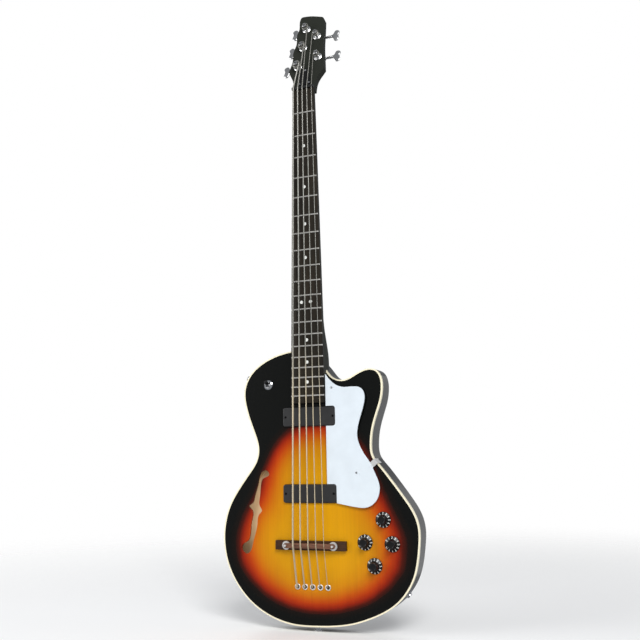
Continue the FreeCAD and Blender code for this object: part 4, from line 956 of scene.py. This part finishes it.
# %% Plates from an outline
def outline_plate(name, outline, front, thickness, edge, material):
    """A plate drawn in X and Z (mm), standing from its front face backward, with rounded edges."""
    data = bpy.data.curves.new(name, "CURVE")
    data.dimensions = "2D"
    data.fill_mode = "BOTH"
    data.bevel_depth = edge * MM
    data.bevel_resolution = 3
    data.offset = -edge * MM
    data.extrude = (thickness / 2 - edge) * MM
    line = data.splines.new("POLY")
    line.points.add(len(outline) - 1)
    for point, (x, z) in zip(line.points, outline):
        point.co = (x * MM, z * MM, 0, 1)
    line.use_cyclic_u = True
    drawn = bpy.data.objects.new(name, data)
    bpy.context.scene.collection.objects.link(drawn)
    depsgraph = bpy.context.evaluated_depsgraph_get()
    mesh = bpy.data.meshes.new_from_object(drawn.evaluated_get(depsgraph))
    place = Matrix.Translation((0, (front + thickness / 2) * MM, 0)) @ Matrix.Rotation(math.pi / 2, 4, "X")
    corners = [v.co.copy() for v in mesh.vertices]
    faces = [list(f.vertices) for f in mesh.polygons]
    bpy.data.objects.remove(drawn)
    bpy.data.meshes.remove(mesh)
    return mesh_piece(name, corners, faces, material, "bass", place, 40)


def rounded_rectangle(x, z, half_x, half_z, corner, steps=8):
    """The outline of a rectangle about a middle point, with round corners."""
    points = []
    for number, (sx, sz) in enumerate(((1, 1), (-1, 1), (-1, -1), (1, -1))):
        for step in range(steps + 1):
            angle = math.pi / 2 * (number + step / steps)
            points.append((x + sx * (half_x - corner) + corner * math.cos(angle),
                           z + sz * (half_z - corner) + corner * math.sin(angle)))
    return points


cover_half_length = 51.0
cover_corner = 4.0
neck_cover_half = 17.1
bridge_cover_half = 16.0
covers = (("neck_pickup", neck_pickup_height, neck_cover_half, -30.0),
          ("bridge_pickup", bridge_pickup_height, bridge_cover_half, -32.0))
for name, height, half, front in covers:
    outline = rounded_rectangle(0, height, cover_half_length, half, cover_corner)
    cover = outline_plate(name + "_cover", outline, front, thickness=20.0, edge=1.3, material=pickup_plastic)
    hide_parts(name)
foot_outline = rounded_rectangle(0, 139.5, half_x=67.0, half_z=8.25, corner=1.6)
foot = outline_plate("bridge_foot_wood", foot_outline, front=-33.4, thickness=8.0, edge=0.9,
                     material=foot_rosewood)
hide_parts("bridge_foot")
print("pickup covers and bridge foot made")


# %% Pickguard
guard_length = 236.0
guard_side = 34.0
guard_foot = 205.0
guard_shares = (
    (0.000, 1.000), (0.034, 0.956), (0.085, 0.913), (0.144, 0.894), (0.212, 0.894),
    (0.263, 0.890), (0.297, 0.867), (0.312, 0.826), (0.308, 0.775), (0.292, 0.716),
    (0.269, 0.648), (0.251, 0.581), (0.247, 0.521), (0.261, 0.462), (0.294, 0.396),
    (0.335, 0.337), (0.369, 0.269), (0.400, 0.195), (0.410, 0.136), (0.392, 0.068),
    (0.347, 0.019), (0.286, 0.000), (0.211, 0.007), (0.076, 0.032),
)
guard_places = [(guard_side + x * guard_length, guard_foot + z * guard_length) for x, z in guard_shares]
notch_gap = 0.6
notch_end = cover_half_length + notch_gap
notch_corner = cover_corner + notch_gap
notch_steps = 6


def notch_side(low, high, turn_low=True):
    """The edge of the cut that clears a pickup, from its low corner to its high one, both eased."""
    line = []
    x = notch_end - notch_corner
    for z, first in ((low + notch_corner, -90), (high - notch_corner, 0)):
        for step in range(notch_steps + 1):
            angle = math.radians(first + 90 * step / notch_steps)
            line.append((x + notch_corner * math.cos(angle), z + notch_corner * math.sin(angle)))
    return line if turn_low else line[notch_steps + 1:]


bridge_low = bridge_pickup_height - bridge_cover_half - notch_gap
bridge_high = bridge_pickup_height + bridge_cover_half + notch_gap
neck_low = neck_pickup_height - neck_cover_half - notch_gap
neck_high = neck_pickup_height + neck_cover_half + notch_gap

# Below this height, what is left of the notch's end makes way for the bridge pickup
free_above = 250
guard_outline = [(x, z) for x, z in smooth_line(guard_places) if x > notch_end or z > free_above]
guard_outline += [(notch_end, guard_outline[-1][1]), *notch_side(bridge_low, bridge_high, turn_low=False),
                  (guard_side, bridge_high), (guard_side, neck_low), *notch_side(neck_low, neck_high),
                  (guard_side, neck_high)]
guard = outline_plate("pickguard_sheet", guard_outline, front=-32.5, thickness=2.5, edge=0.45,
                      material=guard_plastic)
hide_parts("pickguard")
print("pickguard outline points:", len(guard_outline))
